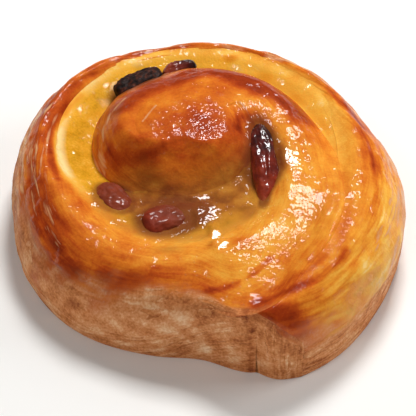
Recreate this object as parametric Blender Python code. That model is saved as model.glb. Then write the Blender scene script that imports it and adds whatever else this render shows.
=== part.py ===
"""A small pain aux raisins: laminated dough wound round custard, with raisins in the channel.

The pastry is wound clockwise, seen from above. A place on it is a turn, counted from the start of
the channel, and a share of the strip's width at that turn, 0 on its inner side and 1 on its outer
side. The seam line between two turns is one spiral, which passes into the outline where the
strip's tail leaves it. Metres, +Z up; the origin is on the table under the middle of the outline.
"""

import math

import bmesh
import bpy
import numpy as np

# The winding: it starts at the core's middle and ends at the tail
CORE_TURN = -1.0
NOTCH_TURN = 1.3
TAIL_TURN = NOTCH_TURN + 1
STATIONS_PER_TURN = 90
STRIPS_ACROSS = 8
CORE_MIDDLE = (-0.00482, 0.00533)
START_ANGLE = math.radians(35.5)
TAIL_SLANT = 0.014
TAIL_CORNER = 0.012
TAIL_SLANT_SPAN = 0.20
TAIL_ROUND = 0.0018
TAIL_CORNER_DROP = 0.0028

# Distance of the seam line, and past the notch of the outline, from the core's middle
SEAM_RADIUS = [
    (-1.00, 0.0000),
    (-0.75, 0.0040),
    (-0.50, 0.0080),
    (-0.25, 0.0115),
    (0.00, 0.0142),
    (0.08, 0.0150),
    (0.16, 0.0166),
    (0.25, 0.0184),
    (0.34, 0.0190),
    (0.42, 0.0186),
    (0.50, 0.0184),
    (0.60, 0.0218),
    (0.69, 0.0250),
    (0.78, 0.0272),
    (0.90, 0.0290),
    (1.00, 0.0298),
    (1.08, 0.0302),
    (1.13, 0.0320),
    (1.20, 0.0384),
    (1.25, 0.0424),
    (1.30, 0.0475),
    (1.335, 0.0422),
    (1.37, 0.0414),
    (1.43, 0.0407),
    (1.50, 0.0382),
    (1.57, 0.0356),
    (1.65, 0.0354),
    (1.74, 0.0360),
    (1.82, 0.0360),
    (1.90, 0.0373),
    (1.98, 0.0386),
    (2.05, 0.0405),
    (2.10, 0.0441),
    (2.15, 0.0468),
    (2.20, 0.0489),
    (2.25, 0.0514),
    (2.30, 0.0522),
]

# Height of the dough where it meets the seam, and past the notch of the outline's widest line
SEAM_HEIGHT = [
    (0.00, 0.0220),
    (0.10, 0.0206),
    (0.20, 0.0182),
    (0.30, 0.0168),
    (0.42, 0.0160),
    (0.50, 0.0152),
    (0.60, 0.0146),
    (0.80, 0.0150),
    (1.00, 0.0164),
    (1.08, 0.0182),
    (1.16, 0.0204),
    (1.22, 0.0205),
    (1.27, 0.0196),
    (1.30, 0.0184),
    (1.35, 0.0100),
    (1.60, 0.0085),
    (2.15, 0.0095),
    (2.30, 0.0100),
]

# Half the width of the channel that the custard fills
CHANNEL_HALF = [
    (0.13, 0.0000),
    (0.19, 0.0016),
    (0.26, 0.0040),
    (0.34, 0.0050),
    (0.42, 0.0045),
    (0.50, 0.0036),
    (0.60, 0.0036),
    (0.72, 0.0036),
    (0.84, 0.0032),
    (0.95, 0.0024),
    (1.05, 0.0015),
    (1.12, 0.0000),
]

# Height of the strip's crest, from where it leaves the mound to the tail
CREST_HEIGHT = [
    (0.80, 0.0245),
    (1.00, 0.0232),
    (1.16, 0.0218),
    (1.28, 0.0198),
    (1.42, 0.0186),
    (1.60, 0.0193),
    (1.75, 0.0200),
    (1.90, 0.0205),
    (2.05, 0.0207),
    (2.16, 0.0208),
    (2.24, 0.0198),
    (2.30, 0.0184),
]

# How far the top slopes down per metre of the strip's width, towards its outer side
CREST_TILT = [(1.00, 0.05), (1.30, 0.20), (1.60, 0.24), (1.90, 0.12), (2.05, 0.24), (2.30, 0.34)]

# Width over which the top falls to the seam, on the strip's inner and outer side
INNER_FALL = [
    (1.00, 0.0060),
    (1.28, 0.0080),
    (1.42, 0.0090),
    (1.54, 0.0065),
    (1.62, 0.0046),
    (1.90, 0.0042),
    (2.05, 0.0050),
    (2.30, 0.0060),
]
OUTER_FALL = [
    (0.00, 0.0050),
    (0.20, 0.0090),
    (0.34, 0.0120),
    (0.50, 0.0090),
    (0.62, 0.0068),
    (0.75, 0.0076),
    (0.95, 0.0064),
    (1.10, 0.0060),
    (1.24, 0.0070),
    (1.30, 0.0060),
    (1.36, 0.0080),
    (1.60, 0.0092),
    (1.90, 0.0065),
    (2.12, 0.0084),
    (2.22, 0.0065),
    (2.30, 0.0040),
]

# How soft that fall is: 0 is a quarter round, 1 an S-curve that runs out level
INNER_SOFTNESS = [(1.00, 1.0), (1.30, 0.9), (1.50, 0.8), (1.65, 0.6), (1.90, 0.6), (2.05, 1.0)]
OUTER_SOFTNESS = [
    (0.00, 1.0),
    (0.34, 1.0),
    (0.50, 0.8),
    (0.62, 0.1),
    (0.70, 0.0),
    (0.95, 0.0),
    (1.05, 0.5),
    (1.12, 1.0),
    (1.27, 1.0),
    (1.31, 0.0),
    (1.40, 0.0),
]

# The mound over the core, and where the strip's own crest takes over from it
MOUND_OFFSET = (0.0030, 0.0016)
MOUND_REACH = (0.0230, 0.0190)
MOUND_TOP = 0.0248
MOUND_FALL = 0.0040
CREST_FROM = (0.78, 1.12)
CREST_WHOLE = (1.00, 1.10)
CREST_SHARE = 0.6
VALLEY_TURNS = (0.0, 0.1)

# The wall under the outline's widest line, and the base
OUTER_ROWS = 5
CHANNEL_ROWS = 2
BASE_INSET = 0.0010

# How far the channel slopes down per metre of its width, towards the mound
CHANNEL_SLOPE = [(0.20, 0.05), (0.42, 0.10), (0.55, 0.30), (0.66, 0.40)]

CUSTARD_TURNS = (0.17, 1.105)
CUSTARD_STATIONS = 88
CUSTARD_ACROSS = 3
CUSTARD_CROWN = 0.0002
CUSTARD_RISE = 0.0002
CUSTARD_BASE = 0.0004
GAP = 0.0003
WELD = 0.00001

# Raisins: name, turn, distance outside the seam line, height, size along, across and through,
# and in degrees how far each is turned from the winding's way and how far its nose dips
RAISINS = [
    ("raisin_groove", 0.160, 0.0003, 0.0191, (0.0204, 0.0060, 0.0054), 25, 9),
    ("raisin_pit_front", 0.364, -0.0006, 0.0149, (0.0130, 0.0086, 0.0052), 26, -9),
    ("raisin_pit_left", 0.488, -0.0004, 0.0144, (0.0102, 0.0068, 0.0046), -8, 0),
    ("raisin_burnt", 0.780, -0.0043, 0.0171, (0.0108, 0.0072, 0.0054), 6, -8),
    ("raisin_back", 0.842, -0.0039, 0.0176, (0.0074, 0.0046, 0.0040), 12, -18),
]
RAISIN_SIDES = 28
RAISIN_RINGS = 12
RAISIN_FOLDS = 7
RAISIN_FOLD_DEPTH = 0.10
RAISIN_TWIST = 1.4
SOCKET_SIDES = 20
SOCKET_RINGS = 10

# Principled BSDF colour, roughness and coat of each kind of piece
FINISHES = {
    "baked_dough": ((0.56, 0.22, 0.05, 1.0), 0.35, 0.5),
    "custard": ((0.72, 0.46, 0.07, 1.0), 0.30, 0.5),
    "raisin": ((0.08, 0.015, 0.012, 1.0), 0.25, 0.6),
    "burnt_raisin": ((0.012, 0.008, 0.008, 1.0), 0.40, 0.2),
}


def smooth_through(points, at):
    """The smooth curve through these (turn, value) points at each turn, level past both ends."""
    turns, values = np.array(points).T
    slopes = np.gradient(values, turns)
    at = np.clip(at, turns[0], turns[-1])
    left = np.clip(np.searchsorted(turns, at) - 1, 0, len(turns) - 2)
    span = turns[left + 1] - turns[left]
    u = (at - turns[left]) / span
    from_left = (1 + 2 * u) * (1 - u) ** 2 * values[left]
    from_right = u * u * (3 - 2 * u) * values[left + 1]
    leaving = u * (1 - u) ** 2 * span * slopes[left]
    arriving = u * u * (u - 1) * span * slopes[left + 1]
    return from_left + from_right + leaving + arriving


def ease(span, at):
    """0 before the span, 1 after it, and a smooth step within it."""
    u = np.clip((at - span[0]) / (span[1] - span[0]), 0, 1)
    return u * u * (3 - 2 * u)


def rounding(distance, width, softness=0.0):
    """0 at the edge and 1 from width on: a quarter round, blended with an S-curve where it is soft."""
    u = np.clip(distance / width, 0, 1)
    return np.sqrt(1 - (1 - u) ** 2) * (1 - softness) + u * u * (3 - 2 * u) * softness


def seam_radius(turn):
    return np.where(turn <= CORE_TURN, 0.0, smooth_through(SEAM_RADIUS, turn))


def channel_half(turn):
    open_part = (turn > CHANNEL_HALF[0][0]) & (turn < CHANNEL_HALF[-1][0])
    return np.where(open_part, smooth_through(CHANNEL_HALF, turn), 0.0)


def on_plan(turn, radius):
    angle = START_ANGLE - 2 * math.pi * turn
    x = CORE_MIDDLE[0] + radius * np.cos(angle)
    y = CORE_MIDDLE[1] + radius * np.sin(angle)
    return x, y


def mound_height(x, y):
    across = (x - CORE_MIDDLE[0] - MOUND_OFFSET[0]) / MOUND_REACH[0]
    along = (y - CORE_MIDDLE[1] - MOUND_OFFSET[1]) / MOUND_REACH[1]
    return MOUND_TOP - MOUND_FALL * (across**2 + along**2)


def seam_height(turn):
    """The seam starts on the mound and sinks into the channel."""
    on_mound = mound_height(*on_plan(turn, seam_radius(turn)))
    sunk = ease(VALLEY_TURNS, turn)
    return on_mound * (1 - sunk) + smooth_through(SEAM_HEIGHT, turn) * sunk


def side_height(turn, side):
    """Height of the dough at the channel's inner side, -1, or its outer side, 1."""
    return seam_height(turn) + side * smooth_through(CHANNEL_SLOPE, turn) * channel_half(turn)


def crown_height(turn, share, x, y, width):
    """The top before its sides are rounded: the mound, and past it the strip's own crest."""
    crest = smooth_through(CREST_HEIGHT, turn) - smooth_through(CREST_TILT, turn) * (share - 0.3) * width
    whole = np.maximum(ease((0, CREST_SHARE), share), ease(CREST_WHOLE, turn))
    own = ease(CREST_FROM, turn) * whole
    return mound_height(x, y) * (1 - own) + crest * own


def top_of_dough(turn, share):
    """Where this place of the wound strip lies, and how high its top is there."""
    cut_back = TAIL_SLANT * share + TAIL_CORNER * share**6
    here = turn - cut_back * ease((TAIL_TURN - TAIL_SLANT_SPAN, TAIL_TURN), turn)
    inner = seam_radius(here - 1) + channel_half(here - 1)
    width = seam_radius(here) - channel_half(here) - inner
    radius = inner + width * share
    x, y = on_plan(here, radius)
    crown = crown_height(turn, share, x, y, width)
    rim = here + (turn < 0)
    to_rim = seam_radius(rim) - channel_half(rim) - radius
    rim_drop = crown - side_height(rim, -1)
    outer = rounding(to_rim, smooth_through(OUTER_FALL, rim), smooth_through(OUTER_SOFTNESS, rim))
    z = crown - rim_drop * (1 - outer)
    inner_drop = (crown - side_height(here - 1, 1)) * (turn >= 0)
    inside = smooth_through(INNER_FALL, turn), smooth_through(INNER_SOFTNESS, turn)
    z = z - inner_drop * (1 - rounding(radius - inner, *inside))
    end_height = seam_height(here - 1) - TAIL_CORNER_DROP * share
    end_drop = np.maximum(z - end_height, 0) * (turn > TAIL_TURN - 1)
    to_end = (TAIL_TURN - turn) * 2 * math.pi * radius
    return x, y, z - end_drop * (1 - rounding(to_end, TAIL_ROUND))


def top_of_custard(turn, share):
    """The custard's top, from the mound's side of the channel to the outer side."""
    side = 2 * share - 1
    x, y = on_plan(turn, seam_radius(turn) + (channel_half(turn) - GAP) * side)
    return x, y, side_height(turn, side) + CUSTARD_RISE + CUSTARD_CROWN * (1 - side**2)


def wound_sheet(place, turns, stations, strips):
    """A flat grid with its long side wound up, welded where neighbouring turns touch."""
    bm = bmesh.new()
    bmesh.ops.create_grid(bm, x_segments=stations, y_segments=strips, size=0.5)
    flat = np.array([vertex.co for vertex in bm.verts])
    turn = turns[0] + (flat[:, 0] + 0.5) * (turns[1] - turns[0])
    share = (1 - np.cos(math.pi * (flat[:, 1] + 0.5))) / 2
    for vertex, spot in zip(bm.verts, np.stack(place(turn, share), axis=1)):
        vertex.co = spot
    bmesh.ops.remove_doubles(bm, verts=bm.verts, dist=WELD)
    return bm


def loops_of(edges):
    """The closed loops that these edges make, the one that reaches furthest out last."""
    left = set(edges)
    loops = []
    while left:
        loop = [left.pop()]
        for edge in loop:
            nearby = {e for vertex in edge.verts for e in vertex.link_edges} & left
            left -= nearby
            loop.extend(nearby)
        loops.append(loop)
    return sorted(loops, key=lambda loop: max(v.co.xy.length for e in loop for v in e.verts))


def outward_of(rim):
    """The level direction out of the sheet at each point of its rim."""
    outward = {}
    for edge in rim:
        corner = edge.link_loops[0]
        along = corner.link_loop_next.vert.co - corner.vert.co
        for vertex in edge.verts:
            outward[vertex] = outward.get(vertex, along * 0) + along.cross((0, 0, 1))
    return outward


def carry_down(bm, rim, base, rows, inset):
    """Carries a rim down to the base in rows, on a quarter round that ends inset further in."""
    top = {vertex: (vertex.co.copy(), way.normalized()) for vertex, way in outward_of(rim).items()}
    for row in range(1, rows + 1):
        down = row / rows
        drawn_in = inset * (1 - math.sqrt(1 - down**2))
        made = bmesh.ops.extrude_edge_only(bm, edges=rim)["geom"]
        below = {}
        for vertex in [part for part in made if isinstance(part, bmesh.types.BMVert)]:
            above = next(e.other_vert(vertex) for e in vertex.link_edges if e.other_vert(vertex) in top)
            start, way = below[vertex] = top[above]
            vertex.co = start - way * drawn_in
            vertex.co.z = start.z + (base - start.z) * down
        top = below
        rim = [part for part in made if isinstance(part, bmesh.types.BMEdge) and part.is_boundary]
    return rim


def close_base(bm, rim):
    bmesh.ops.triangle_fill(bm, edges=rim, use_beauty=True)
    bmesh.ops.recalc_face_normals(bm, faces=bm.faces)


def make_finish(name):
    colour, roughness, coat = FINISHES[name]
    material = bpy.data.materials.new(name)
    material.use_nodes = True
    shader = material.node_tree.nodes["Principled BSDF"]
    shader.inputs["Base Color"].default_value = colour
    shader.inputs["Roughness"].default_value = roughness
    shader.inputs["Coat Weight"].default_value = coat
    return material


def make_object(name, bm, finish, collection):
    mesh = bpy.data.meshes.new(name)
    bm.to_mesh(mesh)
    bm.free()
    mesh.shade_smooth()
    mesh.materials.append(finish)
    made = bpy.data.objects.new(name, mesh)
    collection.objects.link(made)
    return made


def make_dough(finish, collection):
    stations = round((TAIL_TURN - CORE_TURN) * STATIONS_PER_TURN)
    bm = wound_sheet(top_of_dough, (CORE_TURN, TAIL_TURN), stations, STRIPS_ACROSS)
    channel, outline = loops_of([edge for edge in bm.edges if edge.is_boundary])
    base_rim = carry_down(bm, outline, 0, OUTER_ROWS, BASE_INSET)
    base_rim += carry_down(bm, channel, 0, CHANNEL_ROWS, 0)
    close_base(bm, base_rim)
    return make_object("dough", bm, finish, collection)


def make_custard(finish, collection):
    bm = wound_sheet(top_of_custard, CUSTARD_TURNS, CUSTARD_STATIONS, CUSTARD_ACROSS)
    rim = [edge for edge in bm.edges if edge.is_boundary]
    close_base(bm, carry_down(bm, rim, CUSTARD_BASE, CHANNEL_ROWS, 0))
    return make_object("custard", bm, finish, collection)


def raisin_form(sides, rings, fold_depth, size, phase=0):
    """A ball stretched to size with its poles on X, and folds that run twisting from pole to pole."""
    bm = bmesh.new()
    bmesh.ops.create_uvsphere(bm, u_segments=sides, v_segments=rings, radius=0.5)
    for vertex in bm.verts:
        x, y, z = vertex.co.z, vertex.co.x, vertex.co.y
        around = math.atan2(z, y) + RAISIN_TWIST * x + phase
        fold = 1 - fold_depth * (0.5 + 0.5 * math.cos(RAISIN_FOLDS * around)) * (1 - 4 * x * x)
        vertex.co = (x * size[0], y * fold * size[1], z * fold * size[2])
    return bm


def place_on_winding(made, turn, beyond, height, heading, dip):
    x, y = on_plan(turn, seam_radius(np.array(turn)) + beyond)
    made.location = (x, y, height)
    way = START_ANGLE - 2 * math.pi * turn - math.pi / 2
    made.rotation_euler = (0, math.radians(dip), way + math.radians(heading))


def make_raisin(name, turn, beyond, height, size, heading, dip, finish, collection, sockets):
    """A raisin, and the smooth, slightly larger form that presses its socket."""
    bm = raisin_form(RAISIN_SIDES, RAISIN_RINGS, RAISIN_FOLD_DEPTH, size, phase=turn * 10)
    raisin = make_object(name, bm, finish, collection)
    socket_size = [length + 2 * GAP for length in size]
    bm = raisin_form(SOCKET_SIDES, SOCKET_RINGS, 0, socket_size)
    socket = make_object(name + "_socket", bm, finish, sockets)
    socket.hide_render = True
    socket.display_type = "WIRE"
    for made in (raisin, socket):
        place_on_winding(made, turn, beyond, height, heading, dip)


def press_sockets(made, sockets):
    cut = made.modifiers.new("sockets", "BOOLEAN")
    cut.operation = "DIFFERENCE"
    cut.operand_type = "COLLECTION"
    cut.collection = sockets
    cut.solver = "EXACT"


def new_collection(name):
    made = bpy.data.collections.new(name)
    bpy.context.scene.collection.children.link(made)
    return made


def main():
    for old in list(bpy.data.objects):
        bpy.data.objects.remove(old)
    pastry = new_collection("pain_aux_raisins")
    sockets = new_collection("sockets")
    finishes = {name: make_finish(name) for name in FINISHES}
    dough = make_dough(finishes["baked_dough"], pastry)
    custard = make_custard(finishes["custard"], pastry)
    for name, *place in RAISINS:
        finish = finishes["burnt_raisin" if name == "raisin_burnt" else "raisin"]
        make_raisin(name, *place, finish, pastry, sockets)
    press_sockets(dough, sockets)
    press_sockets(custard, sockets)


main()
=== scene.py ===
import itertools
import math

import bmesh
import bpy
import numpy as np
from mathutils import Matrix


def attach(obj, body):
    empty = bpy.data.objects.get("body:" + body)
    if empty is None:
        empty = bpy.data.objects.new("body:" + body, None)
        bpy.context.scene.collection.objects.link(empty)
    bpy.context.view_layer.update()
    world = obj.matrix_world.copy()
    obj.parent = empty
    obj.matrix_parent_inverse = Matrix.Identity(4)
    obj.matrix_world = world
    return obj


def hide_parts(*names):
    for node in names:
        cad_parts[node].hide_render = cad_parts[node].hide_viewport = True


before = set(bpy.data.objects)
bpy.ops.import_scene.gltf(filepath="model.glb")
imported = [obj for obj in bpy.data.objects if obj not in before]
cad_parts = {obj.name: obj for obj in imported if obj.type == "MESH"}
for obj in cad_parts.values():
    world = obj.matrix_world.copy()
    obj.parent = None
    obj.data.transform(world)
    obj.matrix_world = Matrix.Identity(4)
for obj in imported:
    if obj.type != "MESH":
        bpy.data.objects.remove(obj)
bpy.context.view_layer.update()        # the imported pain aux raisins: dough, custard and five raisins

mm = 0.001

# The winding. A place on it is a turn, counted from the start of the channel, and a share of the
# strip's width there, 0 on its inner side and 1 on its outer side. Sizes in the tables are in mm.
winding = {
    "coreTurn": -1.0,                    # where it starts, in the core
    "notchTurn": 1.3,                    # where its outer side becomes the outline
    "tailTurn": 2.3,                     # where it ends
    "stationsPerTurn": 300,
    "strips": 48,
    "wallRows": 104,
    "channelRows": 3,
    "coreMiddle": (-4.82, 5.33),
    "startAngle": 35.5,                  # of turn 0, in degrees
    "tailSlant": 0.014,                  # how far the end face is cut back outward, in turns,
    "tailCorner": 0.012,                 # how much more at its outer corner,
    "tailSlantSpan": 0.20,               # and over how many turns the strip follows it
    "tailRound": 1.8,
    "tailCornerDrop": 2.8,
    "baseInset": 1.0,                    # how far the wall is drawn in at its foot
    # distance of the seam line, and past the notch of the outline, from the core's middle
    "seamRadius": [
        (-1.00, 0.0), (-0.75, 4.0), (-0.50, 8.0), (-0.25, 11.5), (0.00, 14.2), (0.08, 15.0),
        (0.16, 16.6), (0.25, 18.4), (0.34, 19.0), (0.42, 18.6), (0.50, 18.4), (0.60, 21.8),
        (0.69, 25.0), (0.78, 27.2), (0.90, 29.0), (1.00, 29.8), (1.08, 30.2), (1.13, 32.0),
        (1.20, 38.4), (1.25, 42.4), (1.30, 47.5), (1.335, 42.2), (1.37, 41.4), (1.43, 40.7),
        (1.50, 38.2), (1.57, 35.6), (1.65, 35.4), (1.74, 36.0), (1.82, 36.0), (1.90, 37.3),
        (1.98, 38.6), (2.05, 40.5), (2.10, 44.1), (2.15, 46.8), (2.20, 48.9), (2.25, 51.4),
        (2.30, 52.2),
    ],
    "seamHeight": [
        (0.00, 22.0), (0.10, 20.6), (0.20, 18.2), (0.30, 16.8), (0.42, 16.0), (0.50, 15.2),
        (0.60, 14.6), (0.80, 15.0), (1.00, 16.4), (1.08, 18.2), (1.16, 20.4), (1.22, 20.5),
        (1.27, 19.6), (1.30, 18.4), (1.35, 10.0), (1.60, 8.5), (2.15, 9.5), (2.30, 10.0),
    ],
    "channelHalf": [
        (0.13, 0.0), (0.19, 1.6), (0.26, 4.0), (0.34, 5.0), (0.42, 4.5), (0.50, 3.6),
        (0.60, 3.6), (0.72, 3.6), (0.84, 3.2), (0.95, 2.4), (1.05, 1.5), (1.12, 0.0),
    ],
    # how far the channel slopes down to the mound, per mm of its width
    "channelSlope": [(0.20, 0.05), (0.42, 0.10), (0.55, 0.30), (0.66, 0.40)],
    "crestHeight": [
        (0.80, 24.5), (1.00, 23.2), (1.16, 21.8), (1.28, 19.8), (1.42, 18.6), (1.60, 19.3),
        (1.75, 20.0), (1.90, 20.5), (2.05, 20.7), (2.16, 20.8), (2.24, 19.8), (2.30, 18.4),
    ],
    # how far the crest tilts down to the outer side, per mm, about this share of the strip's width
    "tiltAbout": 0.3,
    "crestTilt": [
        (1.00, 0.05), (1.30, 0.20), (1.60, 0.24), (1.90, 0.12), (2.05, 0.24), (2.30, 0.34),
    ],
    # width over which the top falls to the seam, on the strip's inner and outer side
    "innerFall": [
        (1.00, 6.0), (1.28, 8.0), (1.42, 9.0), (1.54, 6.5), (1.62, 4.6), (1.90, 4.2), (2.05, 5.0),
        (2.30, 6.0),
    ],
    "outerFall": [
        (0.00, 5.0), (0.20, 9.0), (0.34, 12.0), (0.50, 9.0), (0.62, 6.8), (0.75, 7.6), (0.95, 6.4),
        (1.10, 6.0), (1.24, 7.0), (1.30, 6.0), (1.36, 8.0), (1.60, 9.2), (1.90, 6.5), (2.12, 8.4),
        (2.22, 6.5), (2.30, 4.0),
    ],
    # how soft that fall is: 0 is a quarter round, 1 an S-curve that runs out level
    "innerSoftness": [
        (1.00, 1.0), (1.30, 0.9), (1.50, 0.8), (1.65, 0.6), (1.80, 0.8), (1.92, 0.98), (2.05, 1.0),
    ],
    "outerSoftness": [
        (0.00, 1.0), (0.34, 1.0), (0.50, 0.8), (0.62, 0.1), (0.70, 0.0), (0.95, 0.0), (1.05, 0.5),
        (1.12, 1.0), (1.27, 1.0), (1.31, 0.0), (1.40, 0.0),
    ],
    # the mound: its top from the core's middle, and how far it falls over its reach
    "moundOffset": (3.0, 1.6),
    "moundReach": (23.0, 19.0),
    "moundTop": 24.8,
    "moundFall": 4.0,
    "moundGirth": 100.0,                 # length of a turn of it, unrolled
    # turns over which the strip's own crest rises out of it, first on its outer side, fully from
    # this share of its width on, and then over its whole width
    "crestFrom": (0.78, 1.12),
    "crestShare": 0.6,
    "crestWhole": (1.00, 1.10),
    "valleyTurns": (0.0, 0.1),           # over which the seam sinks from it into the channel
}


def smoothThrough(points, at):
    # the cubic curve through the (turn, value) points, each slope that of its neighbours' chord,
    # level past both ends
    turns, values = np.array(points).T
    slopes = np.gradient(values, turns)
    at = np.clip(at, turns[0], turns[-1])
    left = np.clip(np.searchsorted(turns, at) - 1, 0, len(turns) - 2)
    span = turns[left + 1] - turns[left]
    u = (at - turns[left]) / span
    fromLeft = (1 + 2 * u) * (1 - u) ** 2 * values[left]
    fromRight = u * u * (3 - 2 * u) * values[left + 1]
    leaving = u * (1 - u) ** 2 * span * slopes[left]
    arriving = u * u * (u - 1) * span * slopes[left + 1]
    return fromLeft + fromRight + leaving + arriving


def ease(low, high, at):
    # 0 before low, 1 after high, and 3u^2 - 2u^3 between
    u = np.clip((at - low) / (high - low), 0, 1)
    return u * u * (3 - 2 * u)


def rounding(distance, width, softness=0.0):
    # 0 at the edge and 1 from width on: the quarter round, the square root of 1 - (1 - u)^2,
    # blended with the S-curve 3u^2 - 2u^3 where it is soft
    u = np.clip(distance / width, 0, 1)
    return np.sqrt(1 - (1 - u) ** 2) * (1 - softness) + u * u * (3 - 2 * u) * softness


def seamRadius(turn):
    # mm from the core's middle to the seam
    return np.where(turn <= winding["coreTurn"], 0.0, smoothThrough(winding["seamRadius"], turn))


def channelHalf(turn):
    # half the channel's width in mm, 0 where it is closed
    table = winding["channelHalf"]
    isOpen = (turn > table[0][0] + 1e-6) & (turn < table[-1][0] - 1e-6)
    return np.where(isOpen, smoothThrough(table, turn), 0.0)


def onPlan(turn, radius):
    # polar coordinates round the core's middle, clockwise as the turn grows
    angle = math.radians(winding["startAngle"]) - 2 * math.pi * turn
    x = winding["coreMiddle"][0] + radius * np.cos(angle)
    y = winding["coreMiddle"][1] + radius * np.sin(angle)
    return x, y


def moundHeight(x, y):
    # a paraboloid over the core
    across = (x - winding["coreMiddle"][0] - winding["moundOffset"][0]) / winding["moundReach"][0]
    along = (y - winding["coreMiddle"][1] - winding["moundOffset"][1]) / winding["moundReach"][1]
    return winding["moundTop"] - winding["moundFall"] * (across**2 + along**2)


def seamHeight(turn):
    # the seam starts on the mound and sinks into the channel
    onMound = moundHeight(*onPlan(turn, seamRadius(turn)))
    sunk = ease(*winding["valleyTurns"], turn)
    return onMound * (1 - sunk) + smoothThrough(winding["seamHeight"], turn) * sunk


def sideHeight(turn, side):
    # height of the dough at the channel's inner side, -1, or its outer side, 1
    return seamHeight(turn) + side * smoothThrough(winding["channelSlope"], turn) * channelHalf(turn)


def crownHeight(turn, share, x, y, width):
    # the mound's paraboloid, and past it the strip's own crest, tilted down to its outer side
    tilt = smoothThrough(winding["crestTilt"], turn)
    crest = smoothThrough(winding["crestHeight"], turn) - tilt * (share - winding["tiltAbout"]) * width
    whole = np.maximum(ease(0, winding["crestShare"], share), ease(*winding["crestWhole"], turn))
    own = ease(*winding["crestFrom"], turn) * whole
    return moundHeight(x, y) * (1 - own) + crest * own


def topOfDough(turn, share):
    # the strip between two turns of the seam, wound up; its crown falls to the seam or the outline
    # on a round at both sides, and to the end face at the tail. In mm.
    shape = winding
    cutBack = shape["tailSlant"] * share + shape["tailCorner"] * share**6
    here = turn - cutBack * ease(shape["tailTurn"] - shape["tailSlantSpan"], shape["tailTurn"], turn)
    inner = seamRadius(here - 1) + channelHalf(here - 1)
    width = seamRadius(here) - channelHalf(here) - inner
    radius = inner + width * share
    x, y = onPlan(here, radius)
    crown = crownHeight(turn, share, x, y, width)
    rim = here + (turn < 0)
    toRim = seamRadius(rim) - channelHalf(rim) - radius
    rimDrop = crown - sideHeight(rim, -1)
    falling = smoothThrough(shape["outerFall"], rim), smoothThrough(shape["outerSoftness"], rim)
    z = crown - rimDrop * (1 - rounding(toRim, *falling))
    innerDrop = (crown - sideHeight(here - 1, 1)) * (turn >= 0)
    falling = smoothThrough(shape["innerFall"], turn), smoothThrough(shape["innerSoftness"], turn)
    z = z - innerDrop * (1 - rounding(radius - inner, *falling))
    endHeight = seamHeight(here - 1) - shape["tailCornerDrop"] * share
    endDrop = np.maximum(z - endHeight, 0) * (turn > shape["tailTurn"] - 1)
    toEnd = (shape["tailTurn"] - turn) * 2 * math.pi * radius
    z = z - endDrop * (1 - rounding(toEnd, shape["tailRound"]))
    return {"x": x, "y": y, "z": z, "across": radius - inner, "toRim": -toRim}


raisins = [
    # each lies on the winding: turn, mm outside the seam, height, size along, across and through,
    # degrees turned from the winding's way, and degrees its nose dips; how many folds it has and
    # how deep they are; how far it curves sideways, in mm; how high the rim of dough round it
    # stands; how red its skin is and how much syrup veils it, both at its two ends; how wet it is;
    # how strongly and how far round it the dough is stained; and its girth from end to end
    {"name": "groove", "turn": 0.160, "beyond": 0.3, "height": 19.1, "size": (20.4, 6.0, 5.4),
     "heading": 25, "dip": 9, "folds": 4, "depth": 0.15, "curve": 0.9, "rim": 0.2,
     "red": (0.24, 0.84), "veil": (0.0, 0.05), "wet": 1.0, "stain": 0.8, "stainReach": 2.8,
     "girth": [(0, 1.15), (0.1, 1.04), (0.45, 1.0), (0.64, 0.98), (0.78, 0.72), (0.88, 0.50), (1, 0.6)]},
    {"name": "pit_front", "turn": 0.364, "beyond": -0.6, "height": 14.9, "size": (13.0, 8.6, 5.2),
     "heading": 26, "dip": -13, "folds": 3, "depth": 0.10, "curve": -0.5, "rim": 0.1,
     "red": (0.46, 0.60), "veil": (1.0, 0.10), "wet": 0.25, "stain": 0.8, "stainReach": 3.2,
     "girth": [(0, 0.9), (0.5, 1.0), (1, 1.0)]},
    {"name": "pit_left", "turn": 0.488, "beyond": -0.4, "height": 14.4, "size": (10.2, 6.8, 4.6),
     "heading": -8, "dip": 0, "folds": 3, "depth": 0.10, "curve": 0.3, "rim": 0.2,
     "red": (0.60, 0.70), "veil": (0.60, 0.55), "wet": 0.4, "stain": 0.6, "stainReach": 1.6,
     "girth": [(0, 1.0), (0.6, 1.0), (1, 0.8)]},
    {"name": "burnt", "turn": 0.780, "beyond": -4.3, "height": 17.1, "size": (10.8, 7.2, 5.4),
     "heading": 6, "dip": -8, "folds": 5, "depth": 0.20, "curve": -0.4, "rim": 0.2,
     "red": (0.0, 0.0), "veil": (0.0, 0.0), "wet": 0.0, "stain": 0.8, "stainReach": 2.6,
     "girth": [(0, 1.1), (0.3, 1.0), (0.6, 0.86), (1, 1.0)]},
    {"name": "back", "turn": 0.842, "beyond": -3.9, "height": 17.6, "size": (7.4, 4.6, 4.0),
     "heading": 12, "dip": -18, "folds": 4, "depth": 0.16, "curve": 0.4, "rim": 0.2,
     "red": (0.74, 0.0), "veil": (0.35, 0.0), "wet": 0.9, "stain": 0.6, "stainReach": 1.8,
     "girth": [(0, 1.1), (0.4, 1.0), (0.6, 0.8), (1, 0.9)]},
]


def raisinPlace(raisin):
    # its middle in mm, and the direction of its length in radians
    x, y = onPlan(raisin["turn"], seamRadius(np.array(raisin["turn"])) + raisin["beyond"])
    way = winding["startAngle"] - 360 * raisin["turn"] - 90 + raisin["heading"]
    return np.array([float(x), float(y), raisin["height"]]), math.radians(way)


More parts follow.
